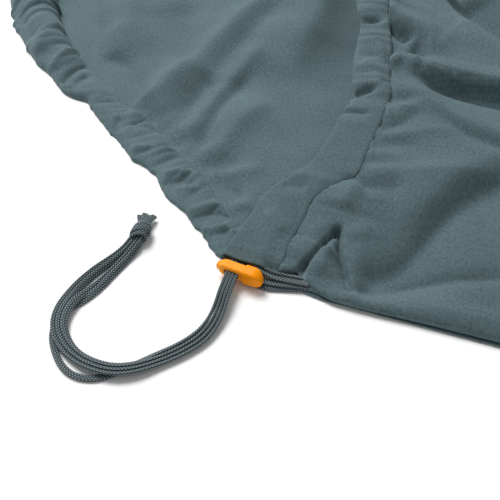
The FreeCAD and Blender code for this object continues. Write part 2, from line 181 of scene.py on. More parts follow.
def mesh_object(name, points, faces, uv=None):
    """Mesh object at the origin from points in millimetres."""
    mesh = bpy.data.meshes.new(name)
    mesh.from_pydata((np.asarray(points, float) * MM).tolist(), [], faces)
    mesh.polygons.foreach_set("use_smooth", [True] * len(mesh.polygons))
    if uv is not None:
        layer = mesh.uv_layers.new(name="Cloth")
        corners = np.zeros(len(mesh.loops), int)
        mesh.loops.foreach_get("vertex_index", corners)
        layer.data.foreach_set("uv", (np.asarray(uv, float)[corners] * MM).ravel())
    mesh.update()
    obj = bpy.data.objects.new(name, mesh)
    bpy.context.scene.collection.objects.link(obj)
    return obj


def grid_faces(rows, columns, around=False, flip=False):
    """Quads of a grid stored row by row; around joins the last column to the first."""
    i, j = np.meshgrid(np.arange(rows - 1), np.arange(columns if around else columns - 1), indexing="ij")
    k = (j + 1) % columns
    quads = np.stack([i * columns + j, i * columns + k, (i + 1) * columns + k, (i + 1) * columns + j],
                     -1).reshape(-1, 4)
    return (quads[:, ::-1] if flip else quads).tolist()


def give(obj, material):
    """Finish a piece with one material and let it ride on the quilt."""
    obj.data.materials.clear()
    obj.data.materials.append(material)
    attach(obj, "quilt")


def finish_cloth(name, node, grid, uv, thickness, flip=False, offset=-1.0):
    """Sheet of cloth over grids of X, Y and Z, with thread directions in uv. It stands for a CAD node."""
    points = np.stack(grid, -1).reshape(-1, 3)
    faces = grid_faces(*grid[0].shape, flip=flip)
    obj = mesh_object(name, points, faces, np.stack(uv, -1).reshape(-1, 2))
    solid = obj.modifiers.new("Cloth thickness", "SOLIDIFY")
    solid.thickness = thickness * MM
    solid.offset = offset
    solid.use_even_offset = False
    give(obj, cloth())
    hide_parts(node)
    return obj


def finish_node(name, material):
    """Finish a CAD node that keeps its own mesh."""
    node = frame["nodes"][name]
    node.data.materials.clear()
    node.data.materials.append(material)


def spaced(start, middle, end, fine, coarse):
    """Places from start to end: evenly fine up to the middle, then growing to coarse steps."""
    places = list(np.arange(start, middle, fine))
    step = fine
    while places[-1] + step < end:
        places.append(places[-1] + step)
        step = min(coarse, step * 1.06)
    places = np.array(places)
    return start + (places - start) * (end - start) / (places[-1] - start)


# ---------------------------------------------------------------- materials

def add_node(tree, kind, links=None, values=None, **settings):
    """One shader or geometry node with its settings, input values and links in."""
    node = tree.nodes.new(kind)
    for name, value in settings.items():
        setattr(node, name, value)
    for name, value in (values or {}).items():
        node.inputs[name].default_value = value
    for name, socket in (links or {}).items():
        tree.links.new(socket, node.inputs[name])
    return node


def new_material(name, colour, roughness, **values):
    material = bpy.data.materials.new(name)
    material.use_nodes = True
    shader = material.node_tree.nodes["Principled BSDF"]
    shader.inputs["Base Color"].default_value = (*hex_colour(colour), 1)
    shader.inputs["Roughness"].default_value = roughness
    for key, value in values.items():
        shader.inputs[key.replace("_", " ")].default_value = value
    material.diffuse_color = (*hex_colour(colour), 1)
    return material, material.node_tree, shader


def woven_polyester():
    """Brushed woven polyester: plain weave, mottled yarn, soft fuzz that lightens its folds' edges."""
    look = bpy.context.scene.quilt_cloth
    material, tree, shader = new_material(
        "Woven brushed polyester", "68787D", 0.92, IOR=1.45, Sheen_Weight=0.22, Sheen_Roughness=0.45,
        Sheen_Tint=(*hex_colour("B9C6CA"), 1), Specular_IOR_Level=0.25)
    place = add_node(tree, "ShaderNodeTexCoord").outputs["UV"]
    # Threads are about 0.4 mm apart, too fine to show, so they are drawn at 1.3 mm.
    pitch = 0.31416 / look.thread_pitch
    warp = add_node(tree, "ShaderNodeTexWave", {"Vector": place},
                    {"Scale": pitch, "Distortion": 1.6, "Detail": 2.0,
                    "Detail Scale": 0.35}, wave_type="BANDS", bands_direction="X")
    weft = add_node(tree, "ShaderNodeTexWave", {"Vector": place}, {"Scale": pitch * 1.07, "Distortion": 1.6,
                    "Detail": 2.0, "Detail Scale": 0.35}, wave_type="BANDS", bands_direction="Y")
    weave = add_node(tree, "ShaderNodeMath", {0: warp.outputs["Fac"], 1: weft.outputs["Fac"]},
                     operation="MULTIPLY")
    fibre = add_node(tree, "ShaderNodeTexNoise", {"Vector": place},
                     {"Scale": 520.0, "Detail": 3.0, "Roughness": 0.7})
    blotch = add_node(tree, "ShaderNodeTexNoise", {"Vector": place},
                      {"Scale": 38.0, "Detail": 3.0, "Roughness": 0.55})
    grain = add_node(tree, "ShaderNodeMath", {0: weave.outputs[0]}, {1: 0.2}, operation="MULTIPLY")
    grain = add_node(tree, "ShaderNodeMath", {0: grain.outputs[0], 1: fibre.outputs["Fac"]}, operation="ADD")
    blotch = add_node(tree, "ShaderNodeMapRange", {"Value": blotch.outputs["Fac"]},
                      {"To Min": 0.35, "To Max": 0.65})
    shade = add_node(tree, "ShaderNodeMath", {0: grain.outputs[0], 1: blotch.outputs[0]}, operation="ADD")
    ramp = add_node(tree, "ShaderNodeValToRGB", {"Fac": add_node(tree, "ShaderNodeMapRange",
                    {"Value": shade.outputs[0]}, {"From Min": 0.7, "From Max": 1.25}).outputs[0]})
    ramp.color_ramp.elements[0].color = (*hex_colour(look.dark), 1)
    ramp.color_ramp.elements[1].color = (*hex_colour(look.light), 1)
    tree.links.new(ramp.outputs["Color"], shader.inputs["Base Color"])
    bump = add_node(tree, "ShaderNodeBump", {"Height": grain.outputs[0]},
                    {"Strength": 0.35, "Distance": 0.0003})
    tree.links.new(bump.outputs["Normal"], shader.inputs["Normal"])
    return material


def braided_polyester():
    """Flat braid of spun polyester: herringbone plaits, with painted shade in the grooves and a painted
    highlight on the raised loops.
    """
    look = bpy.context.scene.quilt_cord
    material, tree, shader = new_material(
        "Braided polyester cord", look.colour, 0.85, IOR=1.45, Sheen_Weight=0.15, Sheen_Roughness=0.4,
        Specular_IOR_Level=0.3)
    raised = add_node(tree, "ShaderNodeAttribute", attribute_name="raised")
    place = add_node(tree, "ShaderNodeTexCoord").outputs["Object"]
    fibre = add_node(tree, "ShaderNodeTexNoise", {"Vector": place}, {"Scale": 1500.0, "Detail": 2.0})
    # Painted shade and painted highlight: the base colour runs from the dark shade painted in the grooves to
    # the light highlight painted on the loops, with each point's relief.
    ramp = add_node(tree, "ShaderNodeValToRGB", {"Fac": raised.outputs["Fac"]})
    ramp.color_ramp.elements[0].color = (*hex_colour(look.groove_shade), 1)
    ramp.color_ramp.elements[0].position = 0.2
    ramp.color_ramp.elements[1].color = (*hex_colour(look.loop_and_highlight), 1)
    ramp.color_ramp.elements[1].position = 0.95
    tree.links.new(ramp.outputs["Color"], shader.inputs["Base Color"])
    bump = add_node(tree, "ShaderNodeBump", {"Height": fibre.outputs["Fac"]},
                    {"Strength": 0.3, "Distance": 0.0002})
    tree.links.new(bump.outputs["Normal"], shader.inputs["Normal"])
    return material


def moulded_plastic(name, colour, roughness, grain):
    """Injection-moulded acetal with a light spark-eroded grain: even colour, soft highlights."""
    material, tree, shader = new_material(
        name, colour, roughness, IOR=1.48, Subsurface_Weight=0.05, Specular_IOR_Level=0.18,
        Subsurface_Radius=(0.002, 0.0008, 0.0003))
    place = add_node(tree, "ShaderNodeTexCoord").outputs["Object"]
    noise = add_node(tree, "ShaderNodeTexNoise", {"Vector": place}, {"Scale": 2200.0, "Detail": 2.0})
    bump = add_node(tree, "ShaderNodeBump", {"Height": noise.outputs["Fac"]},
                    {"Strength": grain, "Distance": 0.0001})
    tree.links.new(bump.outputs["Normal"], shader.inputs["Normal"])
    return material


def spun_thread():
    """Spun polyester sewing thread, a shade lighter than the cloth and matt."""
    return new_material("Spun polyester thread", bpy.context.scene.quilt_cloth.thread, 0.8, IOR=1.45)[0]


def drawn_steel():
    """Drawn steel spring wire: bright metal."""
    return new_material("Drawn steel wire", "B8B8B8", 0.3, Metallic=1.0)[0]


def paper_backdrop():
    """Matt white paper sweep under the quilt."""
    return new_material("Matt white paper", "FFFFFF", 0.95, IOR=1.45, Specular_IOR_Level=0.0)[0]


MATERIALS = {}


def finish_of(name, maker, *args):
    """Each material is made once."""
    if name not in MATERIALS:
        MATERIALS[name] = maker(*args)
    return MATERIALS[name]


def cloth():
    return finish_of("cloth", woven_polyester)


def braid():
    return finish_of("braid", braided_polyester)


def thread():
    return finish_of("thread", spun_thread)


# ---------------------------------------------------------------- cords

TAPE_COLUMNS = 8           # plaits round the braid
PLAIT = 1.9                # length of one plait along the braid
PLAIT_RELIEF = 0.27        # height of a plait
RAISED_AT_CUT = 0.2        # raised value at a braid's cut ends, between the grooves' and the loops' values; it gives the cut ends the painted shade of the grooves
TAPE_STEP = 0.45           # distance between rings of points


def mark_raised(obj, values):
    """Tell the braid's material how far each point stands out of the grooves, from 0 to 1; from it the
    material paints shade into the grooves and a highlight onto the loops.
    """
    raised = obj.data.attributes.new("raised", "FLOAT", "POINT")
    raised.data.foreach_set("value", np.asarray(values).astype(np.float32))


def plaited(name, line, run, directions, halves, size, flatness, ring):
    """Closed flat braid round a line.

    Directions are unit vectors across its width and through it. Halves are its half width and half
    thickness at each point of the line, run the distance along it, and flatness how far its faces turn
    from the edges.
    """
    wide, across = directions
    half_wide, half_thick = halves
    angle = np.linspace(0, 2 * math.pi, ring, endpoint=False)
    c, d = np.cos(angle), np.sin(angle)
    px, pz = np.sign(c) * np.abs(c) ** 0.75, np.sign(d) * np.abs(d) ** 0.8
    edge = np.hypot(np.diff(np.append(px, px[0])) * size[0], np.diff(np.append(pz, pz[0])) * size[1])
    share = np.concatenate([[0], np.cumsum(edge)[:-1]]) / edge.sum() * TAPE_COLUMNS
    column, within = np.floor(share), share % 1.0
    slant = np.where(column % 2 == 0, 1.0, -1.0)
    phase = run[:, None] / PLAIT + (slant * (within - 0.5) * 0.75)[None, :] + (column * 0.5)[None, :]
    loop_and_highlight = (0.5 + 0.5 * np.cos(2 * math.pi * phase)) * np.sin(math.pi * within)[None, :] ** 0.7
    normal = px[None, :, None] * flatness * wide[:, None, :] + pz[None, :, None] * across[:, None, :]
    normal /= np.linalg.norm(normal, axis=2)[:, :, None]
    rings = (line[:, None, :] + (half_wide[:, None] * px[None, :])[:, :, None] * wide[:, None, :]
             + (half_thick[:, None] * pz[None, :])[:, :, None] * across[:, None, :]
             + (PLAIT_RELIEF * (loop_and_highlight - 0.55))[:, :, None] * normal)
    rows = len(line)
    first, base = rows * ring, (rows - 1) * ring
    faces = grid_faces(rows, ring, around=True)
    faces += [(first, (j + 1) % ring, j) for j in range(ring)]
    faces += [(first + 1, base + j, base + (j + 1) % ring) for j in range(ring)]
    obj = mesh_object(name, np.vstack([rings.reshape(-1, 3), line[0], line[-1]]), faces)
    # This relief also sets the painted shade of the grooves and the painted highlight of the loops; both
    # cut-end caps get the painted shade of the grooves.
    mark_raised(obj, np.append(loop_and_highlight.ravel(), [RAISED_AT_CUT] * 2))
    return obj


def tape(name, route, leans, width, thick, step=TAPE_STEP, ring=40, rest=True, pinch=None):
    """Flat braid along a route. Leans are its tilt in degrees at each route point: 0 is flat, 90 on edge.

    Rest keeps it off the ground. Pinch is where the lock squeezes it, as route places, and to what size.
    """
    route = np.array(route, float)
    leans = np.radians(np.asarray(leans, float))
    if rest:
        need = 0.5 * np.hypot(width * np.sin(leans), thick * np.cos(leans)) + 0.06
        route[:, 2] = np.maximum(route[:, 2], need)
    line, place, length = spline(route, step)
    along = np.gradient(line, axis=0)
    along /= np.linalg.norm(along, axis=1)[:, None]
    lean = np.interp(place, np.arange(len(leans)), leans)
    up = np.array([0.0, 0.0, 1.0])
    flat = np.cross(up, along)
    steep = np.linalg.norm(flat, axis=1)
    flat /= np.maximum(steep, 1e-6)[:, None]
    wish = np.cos(lean)[:, None] * flat + np.sin(lean)[:, None] * up
    wish -= np.sum(wish * along, 1)[:, None] * along
    strength = np.linalg.norm(wish, axis=1)
    wide = np.zeros_like(line)
    wide[0] = wish[0] / strength[0]
    for i in range(1, len(line)):
        carried = wide[i - 1] - wide[i - 1].dot(along[i]) * along[i]
        carried /= np.linalg.norm(carried)
        aim = wish[i] / max(strength[i], 1e-6)
        if aim.dot(carried) < 0:
            aim = -aim
        mix = 0.25 * float(smooth((strength[i] - 0.35) / 0.4))
        both = carried * (1 - mix) + aim * mix
        wide[i] = both / np.linalg.norm(both)
    across = np.cross(along, wide)
    s = np.linspace(0, length, len(line))
    half_wide, half_thick = np.full(len(line), width / 2), np.full(len(line), thick / 2)
    if pinch is not None:
        low, high, w, t = pinch
        held = smooth((place - low) / 0.6) * smooth((high - place) / 0.6)
        half_wide += held * (w - width) / 2
        half_thick += held * (t - thick) / 2
    obj = plaited(name, line, s, (wide, across), (half_wide, half_thick), (width, thick), thick / width, ring)
    return obj, line, length


# Each braid from the exit, through the lock and round to the knot: x, y, height, and tilt in degrees.
TAIL = [
    [(-750.0, -356.0, 4.8, 20), (-764.0, -357.6, 5.2, 50), (-773.0, -358.2, 5.4, 62),
         (-783.0, -355.4, 6.4, 85),
     (-792.8, -350.5, 7.0, 90), (-799.15, -350.8, 7.0, 90), (-799.15, -381.5, 7.0, 90),
         (-798.6, -391.5, 4.6, 86),
     (-799.6, -402.0, 2.4, 66), (-803.0, -413.5, 1.0, 48), (-810.5, -425.0, 1.0, 44),
         (-820.5, -435.5, 1.0, 36),
     (-829.5, -446.0, 1.0, 16), (-838.0, -455.5, 1.0, 0), (-847.5, -461.5, 1.0, 0),
         (-858.0, -462.5, 1.0, 10),
     (-867.5, -458.0, 1.0, 20), (-875.5, -449.5, 1.0, 25), (-881.5, -440.0, 1.0, 18),
         (-884.3, -429.0, 1.0, 6),
     (-881.5, -418.0, 1.0, 0), (-875.5, -408.5, 1.0, 12), (-870.5, -398.0, 1.0, 30),
         (-867.5, -386.5, 1.0, 38),
     (-864.6, -375.5, 1.6, 45), (-861.8, -365.5, 2.6, 55), (-860.0, -357.5, 4.2, 65),
         (-859.8, -350.5, 4.6, 70)],
    [(-750.0, -360.0, 4.6, 10), (-764.5, -361.0, 4.9, 8), (-774.0, -360.8, 5.0, 20),
         (-783.5, -358.0, 6.6, 65),
     (-791.2, -352.6, 7.0, 90), (-797.05, -352.9, 7.0, 90), (-797.05, -381.5, 7.0, 90),
         (-796.4, -391.8, 4.6, 84),
     (-797.3, -402.8, 2.4, 64), (-800.8, -415.0, 1.0, 46), (-808.7, -426.9, 1.0, 42),
         (-818.7, -437.4, 1.8, 36),
     (-828.3, -446.6, 3.6, 30), (-838.6, -451.3, 3.9, 30), (-850.5, -450.8, 3.4, 34),
         (-862.0, -446.6, 1.4, 40),
     (-871.5, -440.0, 1.8, 34), (-878.0, -431.5, 3.6, 24), (-880.4, -421.0, 3.8, 22),
         (-879.0, -410.5, 3.6, 24),
     (-874.6, -399.5, 1.8, 34), (-870.2, -388.0, 1.0, 42), (-867.0, -377.0, 1.6, 48),
         (-864.2, -366.8, 2.6, 56),
     (-862.2, -358.2, 4.2, 66), (-861.9, -350.5, 4.6, 70)],
    [(-750.0, -360.6, 3.0, 0), (-765.0, -363.6, 3.2, 5), (-774.5, -364.2, 2.8, 5), (-784.5, -362.4, 1.1, 0),
     (-792.2, -360.2, 1.4, -30), (-794.95, -355.9, 2.0, -80), (-794.95, -355.9, 7.0, 90),
         (-794.95, -381.5, 7.0, 90),
     (-794.2, -392.0, 4.6, 82), (-794.9, -403.6, 2.4, 62), (-798.4, -416.4, 1.0, 44),
         (-806.8, -428.8, 1.0, 40),
     (-817.0, -439.4, 1.8, 36), (-826.9, -448.9, 3.6, 32), (-838.0, -454.0, 3.9, 30),
         (-850.8, -453.7, 3.6, 34),
     (-863.2, -449.3, 1.8, 40), (-873.4, -442.4, 1.8, 34), (-880.8, -432.8, 3.6, 26),
         (-883.6, -421.0, 3.8, 24),
     (-883.3, -408.5, 2.0, 30), (-880.8, -396.0, 1.0, 38), (-876.2, -384.0, 1.0, 42),
         (-870.8, -373.8, 1.6, 48),
     (-866.8, -365.3, 2.8, 56), (-864.4, -357.6, 4.2, 66), (-864.0, -350.5, 4.6, 70)],
    [(-750.0, -361.0, 1.6, 0), (-764.5, -364.8, 1.1, 0), (-774.5, -367.2, 1.0, 0), (-784.0, -366.0, 1.0, 0),
     (-790.2, -361.2, 1.2, -30), (-792.9, -355.9, 2.2, -80), (-792.85, -355.6, 7.0, 90),
         (-792.85, -381.5, 7.0, 90),
     (-792.0, -392.2, 4.6, 80), (-792.5, -404.2, 2.4, 60), (-796.0, -417.8, 1.0, 42),
         (-804.9, -430.7, 1.0, 38),
     (-815.3, -441.4, 1.8, 36), (-825.5, -451.2, 3.5, 32), (-837.4, -456.8, 3.9, 30),
         (-851.2, -456.6, 3.6, 34),
     (-864.4, -452.1, 1.8, 40), (-875.4, -444.8, 1.8, 34), (-883.6, -434.0, 3.6, 26),
         (-886.6, -421.0, 3.8, 24),
     (-886.3, -407.5, 2.0, 30), (-883.6, -394.5, 1.0, 38), (-878.6, -382.0, 1.0, 42),
         (-872.8, -371.6, 1.6, 48),
     (-868.6, -363.6, 2.8, 56), (-866.5, -356.8, 4.3, 66), (-866.1, -350.5, 4.6, 70)],
]
# The stretch of each braid's route, by its points, that the lock squeezes.
SQUEEZED = [(4.6, 6.6), (4.6, 6.6), (5.6, 7.6), (5.6, 7.6)]
SQUEEZED_SIZE = (3.6, 2.0)     # width and thickness there


def tail_braids():
    look = bpy.context.scene.quilt_cord
    made = []
    for number, (route, held) in enumerate(zip(TAIL, SQUEEZED), 1):
        route = np.array(route, float)
        obj, line, length = tape("tail_braid_%d" % number, route[:, :3], route[:, 3], look.width / MM,
                                 look.thickness / MM, pinch=(*held, *SQUEEZED_SIZE))
        give(obj, braid())
        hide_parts("tail_strand_%d" % number)
        made.append((obj, line, length))
    return made


KNOT = np.array([-862.8, -348.0, 5.2])
KNOT_AXIS = np.array([-0.14, 0.99, 0.0])
# Each turn round the bundle: place along the knot's axis, tilt and radius.
WRAPS = [(-4.6, 0.42, 3.9), (-1.7, 0.55, 4.7), (1.4, 0.62, 4.5), (4.0, 0.5, 3.6)]
# Where the fanned cut ends stop, from the knot's middle: along, across and down.
CUT_ENDS = [(17.0, -4.4, -2.4), (19.5, -1.5, -2.8), (17.2, 1.6, -1.8), (18.2, 4.6, -2.6)]


def overhand_knot():
    """Overhand knot of the four braids: a wrap of tapes round the bundle, then the fanned cut ends."""
    side = np.array([KNOT_AXIS[1], -KNOT_AXIS[0], 0.0])
    up = np.array([0.0, 0.0, 1.0])
    parts = []
    for k, (shift, tilt, radius) in enumerate(WRAPS):
        route = []
        for i in range(15):
            a = math.radians(-150 + 400 * i / 14)
            drift = shift + tilt * radius * math.sin(a + 0.9)
            out = radius * (1 + 0.06 * math.sin(3 * a + k))
            route.append(KNOT + KNOT_AXIS * drift + side * out * 1.18 * math.cos(a) + up * out * 0.92
                         * math.sin(a))
        parts.append((spline(route, TAPE_STEP)[0], "wrap"))
    for k, (along, across, down) in enumerate(CUT_ENDS):
        root = KNOT + KNOT_AXIS * 1.5 + side * across * 0.2
        neck = KNOT + KNOT_AXIS * 7.4 + side * across * 0.42 + up * (0.9 * (k % 2) - 1.2)
        tip = KNOT + KNOT_AXIS * along + side * across + up * down
        route = [root, (root + neck) / 2, neck, neck * 0.45 + tip * 0.55 + up * 0.7, tip]
        parts.append((spline(route, TAPE_STEP)[0], "end"))
    objects = [knot_tape("part_%d" % number, line, kind, side, up) for number,
               (line, kind) in enumerate(parts)]
    objects.append(ball("core", KNOT, (4.6, 5.6, 4.0)))
    joined = join(objects, "tail_knot_braid")
    give(joined, braid())
    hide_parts("tail_knot")
    return joined


def knot_tape(name, line, kind, side, up):
    """Short tape whose flat face looks away from the knot's axis."""
    along = np.gradient(line, axis=0)
    along /= np.linalg.norm(along, axis=1)[:, None]
    if kind == "wrap":
        out = line - KNOT - ((line - KNOT) @ KNOT_AXIS)[:, None] * KNOT_AXIS
    else:
        out = np.tile(up + 0.25 * side, (len(line), 1))
    out -= np.sum(out * along, 1)[:, None] * along
    out /= np.linalg.norm(out, axis=1)[:, None]
    width, thick = (4.2, 1.9) if kind == "wrap" else (4.0, 1.9)
    # A cut end fans out towards its tip.
    fan = 0.72 + 0.36 * smooth((np.linspace(0, 1, len(line)) - 0.35) / 0.6)
    spread = np.ones(len(line)) if kind == "wrap" else fan
    halves = (spread * width / 2, np.full(len(line), thick / 2))
    run = np.arange(len(line)) * TAPE_STEP
    return plaited(name, line, run, (np.cross(out, along), out), halves, (width, thick), 0.45, 32)


def ball(name, centre, radii, rows=14, ring=24):
    """Closed ellipsoid."""
    points, faces = [centre + np.array([0, 0, radii[2]])], []
    for i in range(1, rows):
        a = math.pi * i / rows
        for j in range(ring):
            b = 2 * math.pi * j / ring
            points.append(centre + np.array(radii) * (math.sin(a) * math.cos(b), math.sin(a) * math.sin(b),
                                                      math.cos(a)))
    points.append(centre - np.array([0, 0, radii[2]]))
    for j in range(ring):
        k = (j + 1) % ring
        faces.append((0, 1 + j, 1 + k))
        for i in range(rows - 2):
            a, b = 1 + i * ring, 1 + (i + 1) * ring
            faces.append((a + j, b + j, b + k, a + k))
        faces.append((1 + (rows - 2) * ring + j, len(points) - 1, 1 + (rows - 2) * ring + k))
    obj = mesh_object(name, points, faces)
    # The knot's core gets the painted shade of the grooves.
    mark_raised(obj, np.full(len(points), 0.15))
    return obj


def join(objects, name):
    """One mesh object from several."""
    bpy.ops.object.select_all(action="DESELECT")
    for obj in objects:
        obj.select_set(True)
    bpy.context.view_layer.objects.active = objects[0]
    bpy.ops.object.join()
    objects[0].name = name
    objects[0].data.name = name
    return objects[0]


# ---------------------------------------------------------------- base surfaces

def arch_values(x):
    return np.interp(x, ARCH[:, 0], ARCH[:, 1]), np.interp(x, ARCH[:, 0], ARCH[:, 2])


def arch(x, y):
    """Height of the upper layer where no fold lifts it."""
    half, crown = arch_values(x)
    edge = half - SEAM
    rise = crown - 6.4
    radius = (edge ** 2 + rise ** 2) / (2 * rise)
    inside = np.minimum(np.abs(y), edge)
    return crown - radius + np.sqrt(radius ** 2 - inside ** 2)


def rim(s, inset):
    """Point on the hood at a distance s along its edge from the near corner and an inset from that edge."""
    s, inset = np.broadcast_arrays(np.asarray(s, float), np.asarray(inset, float))
    arc = 2 * RIM_TURN * HOOD_RADIUS
    turn = RIM_TURN - (np.clip(s, STRAIGHT_RIM, STRAIGHT_RIM + arc) - STRAIGHT_RIM) / HOOD_RADIUS
    inward = np.stack([np.cos(turn), np.sin(turn)], -1)
    on_arc = np.array([HOOD_CENTRE_X, 0.0]) - HOOD_RADIUS * inward
    back = np.stack([-np.sin(turn), np.cos(turn)], -1)
    run = np.where(s < STRAIGHT_RIM, s - STRAIGHT_RIM,
                   np.where(s > STRAIGHT_RIM + arc, s - STRAIGHT_RIM - arc, 0.0))
    return on_arc + back * run[..., None] + inward * inset[..., None]


# Places along the chest casing, by distance across the quilt: its front fold and its stitch line.
CHEST_FRONT = [(-356, -806), (-340, -801), (-328, -797), (-305, -789), (-293, -778), (-282, -770),
               (-262, -764), (-244, -761),
               (-222, -757), (-206, -762), (-180, -765), (-154, -768), (-132, -777), (-100, -781),
                   (-60, -778),
               (0, -784), (60, -779), (120, -783), (180, -776), (240, -780), (300, -779), (335, -790),
                   (356, -800)]
CHEST_STITCH = [(-356, -769), (-340, -768), (-322, -764), (-308, -762), (-300, -756), (-292, -745),
                (-284, -740),
                (-270, -738), (-256, -736), (-240, -734), (-217, -733), (-202, -737), (-175, -742),
                    (-152, -748),
                (-126, -753), (-90, -755), (0, -757), (90, -752), (180, -756), (280, -752), (356, -760)]
# Bites of the gathers into the hood's outline: distance from the near corner, depth.
RIM_BITES = [(0, 0), (14, 0.5), (27, 3), (36, 2), (45, 4), (65, 2.5), (80, 4), (93, 7.5), (103, 6),
             (115, 3), (135, 5),
             (152, 4.6), (170, 6), (184, 8), (192, 8), (198, 4), (207, 0.5), (222, 0), (235, 1.5),
                 (250, 0), (280, 1.0),
             (320, 0.5), (360, 2), (420, 0), (470, 2.5), (520, 0), (570, 3), (610, 0.5), (650, 2),
                 (690, 0), (720, 3),
             (750, 1), (790, 4), (830, 2), (860, 5), (900, 2), (930, 4), (954, 0)]
CASING_DEPTH = [(0, 26), (39, 25), (65, 31), (88, 30), (118, 31.5), (158, 30), (171, 27), (192, 27),
                (215, 29), (250, 30),
                (285, 33), (320, 37), (360, 38), (430, 34), (500, 31), (600, 30), (700, 29), (954, 28)]
CASING_LOFT = [(0, 1.6), (30, 2.2), (60, 2.8), (120, 3.2), (170, 3.8), (215, 5.5), (260, 9), (300, 14),
               (340, 18),
               (390, 18), (450, 14), (520, 10), (600, 7), (700, 6), (954, 3)]

# Folds of the hood's cloth.
HOOD_FOLDS = [
    (11.0, 17, 70, 9, 0.15, 0.25, [(-815, 80), (-818, 0), (-812, -70), (-812, -130), (-820, -185)]),
    (-8.0, 16, 20, 5, 0.2, 0.3, [(-1040, -60), (-1008, -118), (-992, -150), (-968, -180)]),
    (-4.0, 9, 16, 5, 0.2, 0.3, [(-868, -180), (-872, -205), (-873, -228), (-872, -250)]),
    (-4.0, 10, 26, 5, 0.2, 0.3, [(-925, -95), (-905, -130), (-893, -165), (-893, -195)]),
    (9.0, 46, 10, 5, 0.02, 0.12, [(-820, -20), (-840, -62), (-864, -107), (-882, -160), (-902, -208),
        (-914, -228), (-924, -240)]),
    (-6.0, 14, 15, 6, 0.2, 0.25, [(-838, -80), (-852, -125), (-863, -160), (-870, -190), (-876, -218),
        (-879, -248)]),
    (4.5, 8, 12, 4, 0.2, 0.25, [(-840, -140), (-852, -180), (-860, -210), (-866, -240), (-869, -262)]),
    (-5.0, 7, 9, 3, 0.25, 0.2, [(-838, -170), (-848, -196), (-853, -222), (-854, -246), (-853, -268)]),
    (4.0, 9, 16, 4, 0.3, 0.2, [(-815, -200), (-830, -225), (-838, -250), (-840, -275)]),
    (-5.5, 14, 10, 6, 0.3, 0.2, [(-962, -170), (-946, -190), (-932, -206), (-916, -226)]),
    (5.0, 22, 40, 7, 0.1, 0.3, [(-985, -50), (-972, -88), (-963, -115), (-958, -150), (-968, -185)]),
    (-5.0, 12, 24, 7, 0.1, 0.3, [(-1010, -80), (-1004, -112), (-992, -140), (-975, -165)]),
    (2.6, 5, 7, 2, 0.2, 0.3, [(-846, -283), (-830, -280), (-812, -276), (-800, -272)]),
    (3.0, 4, 6, 2, 0.2, 0.4, [(-832, -313), (-822, -308), (-808, -304), (-795, -303)]),
    (-2.6, 4, 6, 2, 0.2, 0.4, [(-838, -303), (-822, -296), (-808, -292)]),
    (6.0, 30, 40, 9, 0.2, 0.2, [(-830, 60), (-900, 90), (-960, 100), (-1020, 90)]),
    (-6.0, 26, 26, 8, 0.2, 0.2, [(-800, 130), (-870, 160), (-930, 190)]),
    (6.0, 20, 26, 6, 0.2, 0.2, [(-800, 190), (-850, 230), (-880, 262)]),
    (-4.0, 14, 14, 5, 0.2, 0.2, [(-800, 240), (-830, 270), (-850, 296)]),
]

